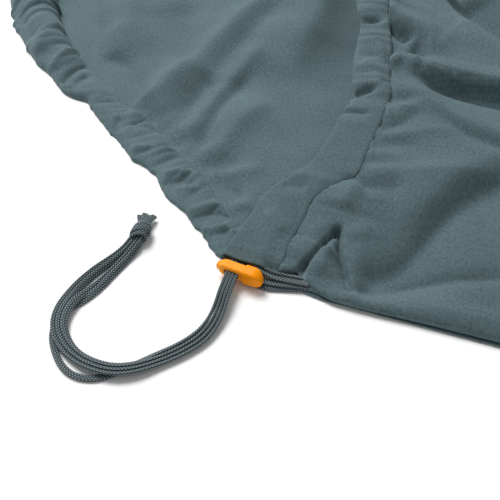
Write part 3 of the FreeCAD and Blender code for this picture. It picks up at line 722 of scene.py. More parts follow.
# Folds of the upper layer near the lock.
NECK_FOLDS = [
    # the overlap beside the exit, its other leg and the dimple
    (-5.5, 0.5, 1.4, 0.3, 0.02, 0.08, [(-760, -357), (-755.5, -348.5), (-751, -340), (-746.5, -331),
        (-742, -321)]),
    (-6.5, 0.6, 3.4, 0.5, 0.02, 0.7, [(-761, -358), (-756, -349.5), (-752.5, -342.5)]),
    (-7.8, 0.7, 3.3, 0.5, 0.12, 0.4, [(-741, -319), (-739.5, -328), (-737, -337), (-733.5, -344),
        (-729.5, -351), (-726, -359)]),
    (1.4, 2.6, 2.6, 1.2, 0.2, 0.3, [(-741.5, -327), (-742.5, -333), (-744, -343)]),
    (-3.0, 2.2, 2.6, 1.2, 0.3, 0.3, [(-732, -347), (-727, -356), (-723, -364)]),
    (1.8, 7, 5, 3, 0.25, 0.25, [(-748, -318), (-754, -329), (-760, -341), (-764, -350)]),
    (3.6, 5, 4, 3, 0.25, 0.3, [(-744, -334), (-745, -345), (-747, -357)]),
    (4.0, 9, 9, 4, 0.25, 0.3, [(-742, -312), (-741, -302), (-738, -288)]),
    (3.0, 9, 12, 4, 0.3, 0.3, [(-728, -330), (-731, -312), (-735, -292)]),
    (-3.0, 6, 6, 3, 0.3, 0.4, [(-730, -326), (-734, -308), (-737, -294)]),
    # hollow above the hem roll, running up to the right
    (-9.0, 9, 16, 4, 0.12, 0.05, [(-728, -350), (-712, -347), (-700, -340), (-692, -326), (-682, -304),
        (-668, -283), (-652, -268), (-630, -256)]),
    (5.0, 16, 10, 6, 0.3, 0.05, [(-712, -318), (-700, -304), (-686, -284), (-668, -262), (-640, -240)]),
    (-3.5, 4, 5, 1.5, 0.1, 0.3, [(-727, -361), (-716, -357), (-704, -352), (-684, -345), (-655, -335),
        (-620, -330)]),
    (4.0, 7, 6, 5, 0.25, 0.1, [(-735, -366), (-718, -365), (-700, -364), (-670, -362), (-600, -361)]),
    # long crease from the jog of the stitch line
    (3.4, 6, 9, 2, 0.1, 0.05, [(-742, -286), (-725, -280), (-704, -276), (-684, -272), (-655, -266),
        (-600, -258), (-540, -262)]),
    (-2.6, 6, 8, 3, 0.2, 0.3, [(-738, -293), (-722, -289), (-706, -288)]),
    # deep valley and the ridge over it
    (7.0, 22, 2.5, 2, 0.06, 0.02, [(-731, -184), (-722, -190), (-712, -193), (-690, -195), (-660, -197),
        (-600, -189), (-500, -169), (-380, -149)]),
    (-10.0, 1.2, 8, 1, 0.1, 0.02, [(-734, -188), (-724, -194), (-712, -197), (-690, -199), (-660, -201),
        (-600, -193), (-500, -173), (-380, -153)]),
    (-8.0, 1.4, 3.0, 1, 0.15, 0.1, [(-722, -197), (-706, -202), (-686, -205), (-656, -208), (-600, -202),
        (-500, -184)]),
    (3.4, 9, 5, 3, 0.1, 0.1, [(-738, -208), (-724, -211), (-710, -216), (-694, -224), (-676, -233),
        (-650, -240), (-600, -243), (-520, -240)]),
    (-4.5, 1.5, 7, 1, 0.35, 0.1, [(-716, -219), (-702, -226), (-690, -233), (-674, -241), (-650, -248),
        (-600, -253)]),
    # the S at the top of the stitch line
    (-12.0, 1.5, 4, 1.0, 0.02, 0.35, [(-751, -150), (-744, -158), (-735, -163), (-726, -166)]),
    (6.0, 6, 5, 2.0, 0.1, 0.2, [(-754, -122), (-751, -143), (-741, -152), (-728, -157), (-718, -163),
        (-714, -173), (-718, -184)]),
    (5.0, 3, 3, 1.5, 0.2, 0.2, [(-742, -196), (-737, -187), (-731, -182), (-725, -187), (-718, -192)]),
    (-4.0, 3, 3, 1.5, 0.2, 0.2, [(-728, -170), (-723, -176), (-722, -184)]),
    (7.0, 20, 12, 6, 0.1, 0.05, [(-735, -90), (-716, -112), (-700, -134), (-682, -152), (-664, -168),
        (-630, -172)]),
    (-20.0, 22, 14, 6, 0.15, 0.05, [(-730, -60), (-700, -92), (-678, -118), (-650, -138), (-600, -140)]),
    (-9.0, 26, 9, 6, 0.1, 0.1, [(-716, -96), (-700, -118), (-682, -132), (-655, -146), (-610, -150)]),
    # gathers that fan out of the stitch line
    (-2.4, 3, 4, 1.2, 0.1, 0.5, [(-734, -249), (-722, -241), (-706, -224)]),
    (2.0, 3, 4, 1.2, 0.1, 0.5, [(-735, -255), (-720, -250), (-700, -240), (-675, -236)]),
    (-1.8, 3, 3, 1.2, 0.1, 0.5, [(-736, -261), (-722, -258), (-704, -256)]),
    (1.8, 3, 3, 1.2, 0.1, 0.6, [(-737, -267), (-724, -266), (-706, -266)]),
    (-1.6, 3, 3, 1.2, 0.1, 0.6, [(-738, -273), (-726, -273), (-712, -274)]),
    (2.2, 3, 4, 1.2, 0.1, 0.5, [(-734, -233), (-723, -228), (-710, -222)]),
    (-2.0, 3, 4, 1.2, 0.1, 0.5, [(-734, -226), (-724, -220), (-712, -216)]),
]


def gathers(along, away, spacing, seed, reach=38.0, lean=0.15):
    """Soft irregular gathers that start at a stitch line and fade with the distance away from it."""
    wander, swell = field(seed), field(seed + 1)
    turn = (along / spacing + 0.9 * wander(along / 31.0, away / 60.0)
            + lean * away / spacing * wander(along / 50.0, 3.3))
    hump = np.abs(np.sin(math.pi * turn)) ** 0.8 - 0.6
    amount = 0.55 + 0.45 * swell(along / 26.0, away / 45.0)
    return hump * amount * np.exp(-np.maximum(away, 0) / reach)


def half_width(x):
    """Outline of the upper layer."""
    half, _ = arch_values(x)
    corner = FOOT_X - FOOT_RADIUS
    round_off = FOOT_RADIUS - np.sqrt(np.maximum(FOOT_RADIUS ** 2 - np.clip(x - corner, 0,
                                                                            FOOT_RADIUS) ** 2, 0))
    return half - round_off - 3.0 * (1 - smooth((x - NECK_X) / 24.0))


# Lower edge of the cloth between the lock and the exit mouth, by place along X.
MOUTH_EDGE = [(-810, -355.0), (-801, -356.4), (-795, -357.6), (-786, -358.0), (-779, -358.2),
              (-772, -358.0), (-766, -356.4), (-758, -354.2)]
MOUTH_X = -759.0


def cover_height(x, y, away):
    """Upper layer: arch, folds near the lock, gathers along the stitch line, long soft folds to the foot."""
    z = arch(x, y)
    z = z + folds(x, y, NECK_FOLDS) * (y < 0)
    near = smooth((-150 - y) / 50) * smooth((-560 - x) / 60)
    quiet = 1 - 0.75 * near
    strength = 2.6 * (1 - 0.65 * smooth((-225 - y) / 40) * near)
    z = z + strength * gathers(y, away, 15.0, 31)
    z = z + 1.2 * quiet * gathers(y + 0.12 * away, away, 7.0, 35, 20.0)
    roam, other, third = field(11), field(12), field(13)
    bent_y = y + 26 * roam(x / 210.0, y / 160.0)
    long_folds = np.abs(other(x / 420.0 + 5, bent_y / 46.0)) ** 0.8
    z = z + ((12.0 * (long_folds - 0.35)) * (1 - near)
             * smooth((1095 - x) / 120) * smooth((370 - np.abs(y)) / 60))
    crossing = np.abs(roam((x + 0.6 * y) / 120.0 + 3, (y - 0.25 * x) / 260.0)) ** 0.7
    z = z + 8.0 * (0.4 - crossing) * (1 - near) * smooth((370 - np.abs(y)) / 50) * smooth((1090 - x) / 90)
    z = z + 5.0 * third(x / 150.0, y / 90.0) * (1 - near)
    z = z + 0.8 * third(x / 34.0 + 9, y / 28.0)
    return z


# ---------------------------------------------------------------- cloth pieces

PANEL_THICKNESS = 0.5
CASING_THICKNESS = 0.45
CASING_END = 355.5         # half length of the chest casing
CHEST_TUBE, HOOD_TUBE = 74.0, 66.0      # cloth round each casing, from edge to edge


def top_panel():
    fine = 1.2
    near_y = np.concatenate([np.arange(0, 76, fine), np.arange(76, 290, 2.4),
                             spaced(290.0, 291.0, 712.0, 2.6, 9.0)])
    v = near_y / near_y[-1] * 2 - 1
    near_x = np.concatenate([np.arange(0, 52, fine), np.arange(52, 176, 2.4),
                             spaced(176.0, 177.0, 1880.0, 2.6, 20.0)])
    u = near_x / near_x[-1]
    start = knots(v * 355.0, CHEST_STITCH) - 1.0
    x = start[:, None] + (FOOT_X - 1.0 - start[:, None]) * u[None, :]
    side = np.abs(v)[:, None]
    # The edge steps out past the exit mouth; rows further in ease outwards.
    past_mouth = x - np.maximum(start[:, None], MOUTH_X)
    ease = (0.55 * smooth(past_mouth / (4.0 + 110.0 * (1 - side)))
            + 0.45 * smooth(past_mouth / (26.0 + 90.0 * (1 - side))))
    bulge = 1.5 * np.exp(-((x + 718) / 30.0) ** 2) * (v < 0)[:, None]
    wave = 1.2 * field(5)(x / 40.0, v[:, None] * 0.5 + 1.5) * smooth((x + 700) / 120)
    inner_half = np.where(v[:, None] < 0, -knots(x, MOUTH_EDGE), 355.0)
    half = inner_half + (half_width(x) - 0.6 + bulge + wave - inner_half) * ease
    y = v[:, None] * half
    away = x - start[:, None]
    z = cover_height(x, y, away)
    inner = half - np.abs(y)
    beside_mouth = (v < 0)[:, None] * (1 - ease)
    lip = 2.9 + 3.3 * beside_mouth
    roll = np.sqrt(np.clip(1 - (1 - np.clip(inner / (7.0 - 4.5 * beside_mouth), 0, 1)) ** 2, 0, 1))
    z = lip + (z - lip) * roll
    z = np.maximum(z, lip * 0.9)
    end = FOOT_X - x
    z = np.where(end < 25, 5.0 + (z - 5.0) * np.sqrt(np.clip(1 - (1 - np.clip(end / 25.0, 0, 1)) ** 2, 0,
                                                             1)), z)
    # Cloth that meets the casing is caught down at the stitches.
    z = z - 0.5 * np.exp(-away / 1.8)
    return finish_cloth("top_panel_cloth", "top_panel", (x, y, z), (x, y), PANEL_THICKNESS, flip=True)


def top_casing():
    """Gathered, folded hem across the chest: a flattened tube from the stitch line over the front fold."""
    y = np.concatenate([np.arange(-CASING_END, -100, 1.15), spaced(-100.0, -99.0, 355.0, 1.3, 3.2)])
    front, stitch = knots(y, CHEST_FRONT), knots(y, CHEST_STITCH)
    wander = field(21)
    nip = gathers(y, np.zeros_like(y), 17.0, 23)
    upper = smooth((y + 275) / 60)
    front = front + nip * (0.5 + 2.4 * upper)
    ring = 38
    q, over, w = tube_section(ring, 0.64)
    width = stitch - front
    x = front[:, None] + width[:, None] * w[None, :]
    yy = np.repeat(y[:, None], ring, 1)
    yy = yy + (knots(x, MOUTH_EDGE) + CASING_END) * np.exp(-(yy + CASING_END) / 14.0)
    base = arch(x, yy)
    puff = np.sqrt(np.clip(1 - (2 * w[None, :] - 1) ** 2, 0, 1)) ** 0.7
    along = yy + 7.0 * (w[None, :] - 0.5) * wander(yy / 40.0, 0.5)
    pleat = gathers(along, np.zeros_like(along), 13.0, 25)
    fine = gathers(along, np.zeros_like(along), 6.5, 27)
    broad = gathers(yy + 16.0 * (w[None, :] - 0.5) * wander(yy / 23.0, 7.5), np.zeros_like(along), 24.0, 29)
    lift = ((0.25 + 1.9 * upper[:, None]) * pleat + (0.1 + 1.1 * upper[:, None]) * fine
            + 2.2 * upper[:, None] * broad)
    body = 0.9 + 1.9 * upper[:, None] * (0.6 + 0.4 * wander(yy / 24.0, 2.5))
    top = base + 0.45 + body * puff + lift * (0.3 + 0.7 * puff)
    top = top + folds(x, yy, CASING_FOLDS)
    top = top - (0.35 + 0.5 * upper[:, None]) * np.exp(-((1 - w[None, :]) * width[:, None]) / 1.4)
    under = base - 1.2 - 2.4 * puff
    z = np.where(over[None, :], np.maximum(top, under + 0.8), under)
    raised = smooth((-774 - x) / 8)
    end = smooth((y[:, None] + CASING_END) / 6.0)
    z = np.where(over[None, :], (base - 2.4) + (z - base + 2.4) * (0.3 + 0.7 * np.maximum(end,
                                                                                          0.8 * raised)), z)
    z = z - (1.0 - 0.6 * raised) * np.exp(-(y[:, None] + CASING_END) / 4.0)
    # The near end stands over the braids behind the lock.
    z = z + np.where(over, 1.7, -0.8)[None, :] * np.exp(-((y[:, None] + CASING_END) / 19.0) ** 2) * raised
    uv = (np.repeat(q[None, :] * CHEST_TUBE, len(y), 0), yy)
    return finish_cloth("top_casing_cloth", "top_casing", (x, yy, z), uv, CASING_THICKNESS)


def casing_braid(name, node, lead, middle):
    """One braid inside a casing: from the exit pocket, then along the casing's middle to its anchor."""
    route = lead + [tuple(float(v) for v in point) for point in middle]
    obj = tape(name, route, [0] * len(route), 3.8, 1.5, step=2.5, ring=16, rest=False)[0]
    give(obj, braid())
    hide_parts(node)


def drawcords():
    """The two braids in the chest casing and the two in the hood's casing."""
    leads = [[(-754.5, -357.5, 4.0), (-748, -357.0, 3.6), (-743.0, -350.0, 3.0), (-743.0, -340.0, 4.0),
              (-751.0, -331.0, 8.0)],
             [(-754.5, -360.0, 3.4), (-744, -359.0, 3.0), (-738.5, -350.0, 2.6), (-739.0, -336.0, 4.0),
              (-748.0, -326.0, 9.0)]]
    across = np.linspace(-306, 338, 44)
    for number, (lead, offset) in enumerate(zip(leads, (-3.4, 3.0)), 1):
        x = 0.5 * (knots(across, CHEST_FRONT) + knots(across, CHEST_STITCH)) + offset
        middle = np.stack([x, across, arch(x, across) - 2.6], 1)
        casing_braid("chest_braid_%d" % number, "top_drawcord_%d" % number, lead, middle)
    leads = [[(-754.5, -355.5, 2.6), (-747, -354.0, 2.2), (-742.0, -347.0, 1.9), (-746.0, -338.0, 1.7),
              (-760.0, -334.0, 1.7),
              (-778.0, -335.0, 1.7)],
             [(-754.5, -362.0, 2.0), (-743, -360.0, 1.9), (-734.5, -350.0, 1.7), (-738.0, -336.0, 1.7),
              (-756.0, -329.5, 1.7),
              (-776.0, -329.5, 1.7)]]
    along = np.linspace(16.0, RIM_LENGTH - 20.0, 90)
    for number, (lead, share) in enumerate(zip(leads, (0.43, 0.6)), 1):
        inset = knots(along, RIM_BITES) + share * (knots(along, CASING_DEPTH) - knots(along, RIM_BITES))
        middle = np.concatenate([rim(along, inset), (1.75 + 1.5 * puffed_at(along))[:, None]], 1)
        casing_braid("hood_braid_%d" % number, "hood_drawcord_%d" % number, lead, middle)


CASING_FOLDS = [
    (1.6, 3, 5, 1.5, 0.2, 0.3, [(-782, -296), (-772, -292), (-762, -292), (-752, -298)]),
    (-1.6, 3, 3, 1.2, 0.2, 0.3, [(-784, -303), (-775, -300), (-766, -302)]),
    (-3.2, 1.6, 3.5, 0.8, 0.15, 0.2, [(-752, -304), (-747, -295), (-741, -286)]),
    (2.0, 4, 4, 2, 0.3, 0.3, [(-790, -322), (-780, -326), (-772, -336)]),
    (-2.5, 2, 3, 1, 0.2, 0.3, [(-757, -223), (-748, -219), (-741, -214)]),
    (-3.0, 2, 3, 1, 0.2, 0.3, [(-768, -157), (-760, -152), (-750, -151)]),
    (2.6, 3, 3, 1.5, 0.3, 0.3, [(-764, -178), (-756, -174), (-747, -182), (-742, -196)]),
    (-3.0, 1.2, 3, 0.8, 0.1, 0.3, [(-761, -226), (-752, -221), (-742, -215)]),
    (-2.4, 1.2, 3, 0.8, 0.1, 0.3, [(-763, -240), (-752, -237), (-740, -238)]),
    (2.4, 3, 4, 1.5, 0.2, 0.2, [(-757, -192), (-748, -203), (-739, -213)]),
    (-3.4, 1.4, 3.5, 0.8, 0.05, 0.4, [(-770, -153), (-762, -151), (-752, -153)]),
]


def hood_panel():
    ys = np.concatenate([np.arange(-344.5, -20, 2.3), spaced(-20.0, -19.0, 344.5, 2.4, 5.2)])
    columns = 104
    lefts = rim_inner(ys)
    right = np.full(len(ys), NECK_X + 4.0)
    u = np.linspace(0, 1, columns)
    x = lefts[:, None] + (right - lefts)[:, None] * u[None, :]
    y = np.repeat(ys[:, None], columns, 1)
    # The hood is cut at a slant to the threads.
    uv = (x * 0.9 + y * 0.43, y * 0.9 - x * 0.43)
    grid = (x, y, hood_height(x, y))
    return finish_cloth("hood_panel_cloth", "hood_panel", grid, uv, PANEL_THICKNESS, flip=True)


def rim_distance(x, y):
    """Inset from the hood's nominal edge and the distance along it, on either side."""
    near = -np.abs(y)
    along = (x - CORNER[0]) * -TOWARD_CORNER[0] + (near - CORNER[1]) * -TOWARD_CORNER[1]
    straight = (x - CORNER[0]) * INWARD[0] + (near - CORNER[1]) * INWARD[1]
    radial = HOOD_RADIUS - np.hypot(x - HOOD_CENTRE_X, y)
    inset = np.where(along < STRAIGHT_RIM, straight, radial)
    angle = np.arctan2(-near, HOOD_CENTRE_X - x)
    arc = STRAIGHT_RIM + (RIM_TURN - angle) * HOOD_RADIUS
    s = np.where(along < STRAIGHT_RIM, along, arc)
    return inset, np.where(y > 0, RIM_LENGTH - s, s)


def rim_inner(ys):
    """Where the hood's cloth starts, under the inner part of the casing, at each place across."""
    out = []
    for y in ys:
        xs = np.linspace(-1098, -757, 700)
        inset, s = rim_distance(xs, np.full_like(xs, y))
        deep = inset - knots(s, CASING_DEPTH) + 5.0
        out.append(xs[np.argmax(deep > 0)] if (deep > 0).any() else -790.0)
    return np.array(out)


def puffed_at(s):
    """How far the hood's casing has grown into the puffed roll of the head end, from 0 to 1."""
    return smooth((s - 215) / 70) * smooth((RIM_LENGTH - 60 - s) / 200)


def tube_section(ring, upper):
    """Places round a flattened tube: their share of the way round, which lie on its upper face, and how far
    each is from the folded edge, 0, to the sewn edge, 1. Upper is the upper face's share."""
    q = np.linspace(0, 1, ring)
    over = q < upper
    w = np.where(over, 1 - q / upper, (q - upper) / (1 - upper))
    return q, over, 0.5 - 0.5 * np.cos(math.pi * w)


def rim_puckers(s, across):
    """Gathers of the hood's casing, which run on into the hood's cloth; across is 0 at the outline."""
    roam = field(51)
    puffed = puffed_at(s)
    skew = s + 14.0 * (across - 0.4) * roam(s / 60.0, 0.5) + 7 * puffed * (across - 0.5)
    flat = np.zeros_like(skew)
    big, small = gathers(skew, flat, 23.0, 53), gathers(skew + 3 * across, flat, 10.0, 55)
    near = smooth((60 - s) / 40)
    third = gathers(skew - 5 * across, flat, 31.0, 57)
    return ((3.6 + 2.0 * puffed) * big + (1.1 + 0.5 * puffed + 0.9 * near) * small
            + (1.2 + 6.5 * puffed) * third)


def hood_height(x, y):
    inset, s = rim_distance(x, y)
    past = inset - knots(s, CASING_DEPTH)
    open_cloth = smooth(past / 55.0)
    head = smooth((s - 215) / 70)
    z = 2.2 + 8.0 * open_cloth + 1.5 * folds(x, y, HOOD_FOLDS) * smooth((past + 8) / 26.0)
    z = z - (2.5 + 5.0 * head) * np.exp(-((past - 10.0) / 12.0) ** 2) * smooth(s / 60)
    roam = field(41)
    z = z + 1.5 * roam(x / 70.0, y / 60.0) * open_cloth + 0.35 * roam(x / 22.0 + 7, y / 20.0)
    z = z + rim_puckers(s, 1.0 + past * 0.02) * np.exp(-np.maximum(past, 0) / 13.0) * 0.8
    z = np.maximum(z, 1.0 + 0.25 * np.tanh(z))
    covered = smooth((x - (knots(y, CHEST_FRONT) + 4)) / 14.0)
    low = np.minimum(z, 3.2)
    return z * (1 - covered) + low * covered


def hood_casing():
    """Gathered, folded hem round the hood: low near the corners and a puffed roll round the head end."""
    s = np.concatenate([np.arange(1.0, 420, 1.1), spaced(420.0, 421.0, RIM_LENGTH - 1.0, 1.3, 2.6)])
    ring = 42
    q, over, w = tube_section(ring, 0.68)
    depth, loft, bite = knots(s, CASING_DEPTH), knots(s, CASING_LOFT), knots(s, RIM_BITES)
    ss, ww = np.repeat(s[:, None], ring, 1), np.repeat(w[None, :], len(s), 0)
    puffed = puffed_at(ss)
    pucker = rim_puckers(ss, ww)
    outer = bite + 0.45 * rim_puckers(s, np.full_like(s, 0.1))
    deep = depth + 0.9 * puffed[:, 0] * rim_puckers(s, np.ones_like(s))
    inset = outer[:, None] + (deep - outer)[:, None] * ww
    puff = np.sqrt(np.clip(1 - (2 * ww - 1) ** 2, 0, 1))
    shape = puff ** 0.8 * (1 + 0.3 * (ww - 0.5) * puffed)
    xy = rim(ss, inset)
    floor = hood_height(rim(ss, np.maximum(inset, 0))[..., 0], xy[..., 1])
    floor = floor - rim_puckers(ss, np.ones_like(ss)) * 0.8
    top = 1.2 + (floor - 0.9) * ww ** 2 + loft[:, None] * shape + pucker * (0.15 + 0.55 * ww + 0.3 * puff)
    top = top - (0.3 + 1.2 * puffed) * np.exp(-(1 - ww) * depth[:, None] / 1.8)
    top = top + folds(xy[..., 0], xy[..., 1], RIM_FOLDS) * (ss < 420)
    under = 0.35 + 0.25 * puff
    top = np.maximum(top, 1.0 + 2.0 * puff)
    z = np.where(over[None, :], top, under)
    uv = (np.repeat(q[None, :] * HOOD_TUBE, len(s), 0), ss)
    grid = (xy[..., 0], xy[..., 1], z)
    return finish_cloth("hood_casing_cloth", "hood_casing", grid, uv, CASING_THICKNESS)


RIM_FOLDS = [
    (-3.0, 1.6, 2.4, 0.8, 0.15, 0.3, [(-916, -258), (-919, -249), (-921, -240)]),
    (2.4, 3.5, 3.0, 1.4, 0.15, 0.3, [(-917, -232), (-905, -238), (-893, -239), (-878, -236)]),
    (-2.0, 2.5, 3.0, 1.2, 0.2, 0.3, [(-911, -248), (-898, -246), (-884, -246)]),
    (2.6, 2.6, 4.0, 1.2, 0.15, 0.3, [(-902, -272), (-890, -270), (-878, -266), (-866, -266)]),
    (2.8, 2.6, 4.0, 1.2, 0.15, 0.3, [(-872, -292), (-860, -287), (-846, -283), (-832, -280)]),
    (-2.2, 2.5, 3.0, 1.0, 0.2, 0.3, [(-868, -300), (-856, -296), (-842, -291)]),
    (2.2, 2.6, 3.0, 1.2, 0.15, 0.3, [(-857, -303), (-850, -300), (-840, -300)]),
    (3.0, 2.6, 4.5, 1.2, 0.1, 0.3, [(-842, -321), (-832, -313), (-820, -308), (-806, -306)]),
    (-2.6, 2.0, 3.0, 1.0, 0.15, 0.3, [(-838, -327), (-828, -320), (-818, -317), (-806, -317)]),
    (2.6, 2.0, 2.5, 1.0, 0.15, 0.3, [(-828, -335), (-820, -329), (-811, -327), (-803, -331)]),
    (-2.0, 1.6, 2.0, 0.8, 0.2, 0.3, [(-822, -337), (-815, -333), (-806, -336)]),
    # head end
    (-6.0, 4, 6, 2, 0.15, 0.2, [(-1060, -130), (-1046, -146), (-1030, -160), (-1016, -176)]),
    (5.0, 6, 7, 3, 0.2, 0.2, [(-1010, -192), (-1012, -174), (-1008, -160), (-1002, -150)]),
    (-5.0, 2.5, 4, 1.2, 0.15, 0.2, [(-976, -218), (-976, -206), (-972, -192), (-962, -184)]),
    (4.0, 3, 4, 1.5, 0.15, 0.3, [(-992, -206), (-990, -190), (-982, -176), (-972, -172)]),
    (-4.0, 2.5, 4, 1.2, 0.15, 0.3, [(-968, -222), (-968, -208), (-960, -200)]),
]


def outline(inset, step):
    """Even points along the body's outline, from the near neck to the far neck."""
    corner = FOOT_X - FOOT_RADIUS
    centre = 255.0 - FOOT_RADIUS
    points = [(-757, -363 + inset), (-749, -364.3 + inset), (-741, -366 + inset), (-731, -367.2 + inset),
              (-600, -372.7 + inset), (-430, -380 + inset), (corner - 500, -297.8 + inset),
                  (corner, -255 + inset)]
    points += [(corner + (FOOT_RADIUS - inset) * math.sin(a), -centre - (FOOT_RADIUS - inset) * math.cos(a))
               for a in np.linspace(0.15, math.pi / 2, 8)]
    points += [(FOOT_X - inset, 0)]
    points += [(x, -y) for x, y in reversed(points[:-1])]
    line = np.array(points, float)
    run = np.concatenate([[0], np.cumsum(np.linalg.norm(np.diff(line, axis=0), axis=1))])
    at = np.linspace(0, run[-1], int(run[-1] / step))
    return np.stack([np.interp(at, run, line[:, 0]), np.interp(at, run, line[:, 1])], 1), at


def back_panel():
    """Lower layer, which lies on the ground and whose edge shows under the upper layer."""
    xs = np.concatenate([np.arange(NECK_X + 1.0, -560, 3.0), spaced(-560.0, -559.0, FOOT_X - 1.0, 3.2, 22.0)])
    v = np.concatenate([np.linspace(-1, -0.9, 12)[:-1], np.linspace(-0.9, 0.9, 60),
                        np.linspace(0.9, 1, 12)[1:]])
    x = np.repeat(xs[:, None], len(v), 1)
    half = half_width(x) + 0.5 + 0.9 * field(61)(x / 30.0, 0.5)
    y = v[None, :] * half
    edge = half - np.abs(y)
    z = 0.75 + 0.45 * np.exp(-edge / 3.0) + 0.5 * (1 + field(62)(x / 60.0, y / 50.0)) * smooth(edge / 20)
    return finish_cloth("back_panel_cloth", "back_panel", (x, y, z), (x, y), PANEL_THICKNESS, offset=0.0)


def seam(name, sign, node):
    """Bound seam that joins the layers along one side, a narrow rounded strip just inside the edge."""
    line, at = outline(3.4, 5.0)
    line = line[line[:, 1] * sign > -0.5]
    direction = np.gradient(line, axis=0)
    direction /= np.linalg.norm(direction, axis=1)[:, None]
    inward = np.stack([-direction[:, 1], direction[:, 0]], 1)
    ring = 14
    a = np.linspace(0, 2 * math.pi, ring, endpoint=False)
    across, up = 2.3 * np.cos(a), 2.35 + 1.75 * np.sin(a)
    points = np.concatenate([line[:, None, :] + across[None, :, None] * inward[:, None, :],
                             np.repeat(up[None, :, None], len(line), 0)], -1).reshape(-1, 3)
    rows = len(line)
    faces = grid_faces(rows, ring, around=True)
    faces += [tuple(range(ring))[::-1], tuple((rows - 1) * ring + np.arange(ring))]
    uv = np.stack([np.repeat(at[:rows, None], ring, 1), np.repeat(a[None, :] * 2.2, rows, 0)],
                  -1).reshape(-1, 2)
    obj = mesh_object(name, points, [tuple(int(i) for i in f) for f in faces], uv)
    give(obj, cloth())
    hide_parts(node)


def foot_panel():
    """Low panel across the foot, between the layers."""
    rows, columns = 60, 12
    y = np.linspace(-190, 190, rows)
    t = np.linspace(0, 1, columns)
    bulge = 3.0 * (t[None, :] - 0.5) ** 2
    x = FOOT_X - 8.0 - bulge + 0.8 * field(71)(y / 22.0, 0.5)[:, None]
    top = 20.0 * np.sqrt(np.clip(1 - (y / 205.0) ** 2, 0, 1)) ** 0.5
    z = 1.2 + t[None, :] * top[:, None] * 0.6
    yy = np.repeat(y[:, None], columns, 1)
    return finish_cloth("foot_panel_cloth", "foot_panel", (x, yy, z), (yy, z), PANEL_THICKNESS)


# ---------------------------------------------------------------- stitching

def stitch_tree():
    """Geometry nodes that lay thread stitches one after another along a line."""
    tree = bpy.data.node_groups.new("Stitch row", "GeometryNodeTree")
    tree.interface.new_socket("Line", in_out="INPUT", socket_type="NodeSocketGeometry")
    for name, kind in (("Spacing", "NodeSocketFloat"), ("Stitch length", "NodeSocketFloat"),
                       ("Thread radius", "NodeSocketFloat"), ("Seed", "NodeSocketInt"),
                       ("Thread", "NodeSocketMaterial")):
        tree.interface.new_socket(name, in_out="INPUT", socket_type=kind)
    tree.interface.new_socket("Stitches", in_out="OUTPUT", socket_type="NodeSocketGeometry")
    given = add_node(tree, "NodeGroupInput").outputs
    curve = add_node(tree, "GeometryNodeMeshToCurve", {"Mesh": given["Line"]})
    even = add_node(tree, "GeometryNodeResampleCurve",
                    {"Curve": curve.outputs["Curve"], "Length": given["Spacing"]},
                    mode="LENGTH")
    tangent = add_node(tree, "GeometryNodeInputTangent")
    turn = add_node(tree, "FunctionNodeAlignRotationToVector", {"Vector": tangent.outputs["Tangent"]},
                    axis="X")
    bead = add_node(tree, "GeometryNodeMeshUVSphere", values={"Segments": 6, "Rings": 5, "Radius": 1.0})
    vary = add_node(tree, "FunctionNodeRandomValue", {"Seed": given["Seed"]}, {2: 0.75, 3: 1.15},
                    data_type="FLOAT")
    half = add_node(tree, "ShaderNodeMath", {0: given["Stitch length"], 1: vary.outputs[1]},
                    operation="MULTIPLY")
    half = add_node(tree, "ShaderNodeMath", {0: half.outputs[0]}, {1: 0.5}, operation="MULTIPLY")
    size = add_node(tree, "ShaderNodeCombineXYZ", {"X": half.outputs[0], "Y": given["Thread radius"],
                                                   "Z": given["Thread radius"]})
    laid = add_node(tree, "GeometryNodeInstanceOnPoints",
                    {"Points": even.outputs["Curve"], "Instance": bead.outputs["Mesh"],
                    "Rotation": turn.outputs["Rotation"], "Scale": size.outputs["Vector"]})
    real = add_node(tree, "GeometryNodeRealizeInstances", {"Geometry": laid.outputs["Instances"]})
    done = add_node(tree, "GeometryNodeSetMaterial",
                    {"Geometry": real.outputs["Geometry"], "Material": given["Thread"]})
    add_node(tree, "NodeGroupOutput", {"Stitches": done.outputs["Geometry"]})
    return tree


def resting_on(cloths, places, lift):
    """Points on top of the cloths over places in plan, raised by lift; places over no cloth are left out."""
    depsgraph = bpy.context.evaluated_depsgraph_get()
    trees = [BVHTree.FromObject(cloth, depsgraph) for cloth in cloths]
    found = []
    for x, y in places:
        hits = [tree.ray_cast(Vector((x * MM, y * MM, 0.3)), Vector((0, 0, -1)))[0] for tree in trees]
        heights = [hit.z / MM for hit in hits if hit is not None]
        if heights:
            found.append((x, y, max(heights) + lift))
    return np.array(found)


def stitch_row(name, points, seed, length=1.9, radius=0.24, spacing=None):
    """Row of stitches along a line of points, as a plain mesh."""
    look = bpy.context.scene.quilt_cloth
    line = mesh_object(name + "_line", points, [])
    line.data.edges.add(len(points) - 1)
    line.data.edges.foreach_set("vertices", np.repeat(np.arange(len(points)), 2)[1:-1])
    line.data.update()
    tree = finish_of("stitch tree", stitch_tree)
    row = line.modifiers.new("Stitches", "NODES")
    row.node_group = tree
    values = {"Spacing": spacing or look.stitch_pitch, "Stitch length": length * MM,
              "Thread radius": radius * MM,
              "Seed": seed, "Thread": thread()}
    for item in tree.interface.items_tree:
        if item.item_type == "SOCKET" and item.in_out == "INPUT" and item.name in values:
            row[item.identifier] = values[item.name]
    depsgraph = bpy.context.evaluated_depsgraph_get()
    mesh = bpy.data.meshes.new_from_object(line.evaluated_get(depsgraph), depsgraph=depsgraph)
    bpy.data.objects.remove(line)
    mesh.name = name
    mesh.polygons.foreach_set("use_smooth", [True] * len(mesh.polygons))
    obj = bpy.data.objects.new(name, mesh)
    bpy.context.scene.collection.objects.link(obj)
    give(obj, thread())
    return obj


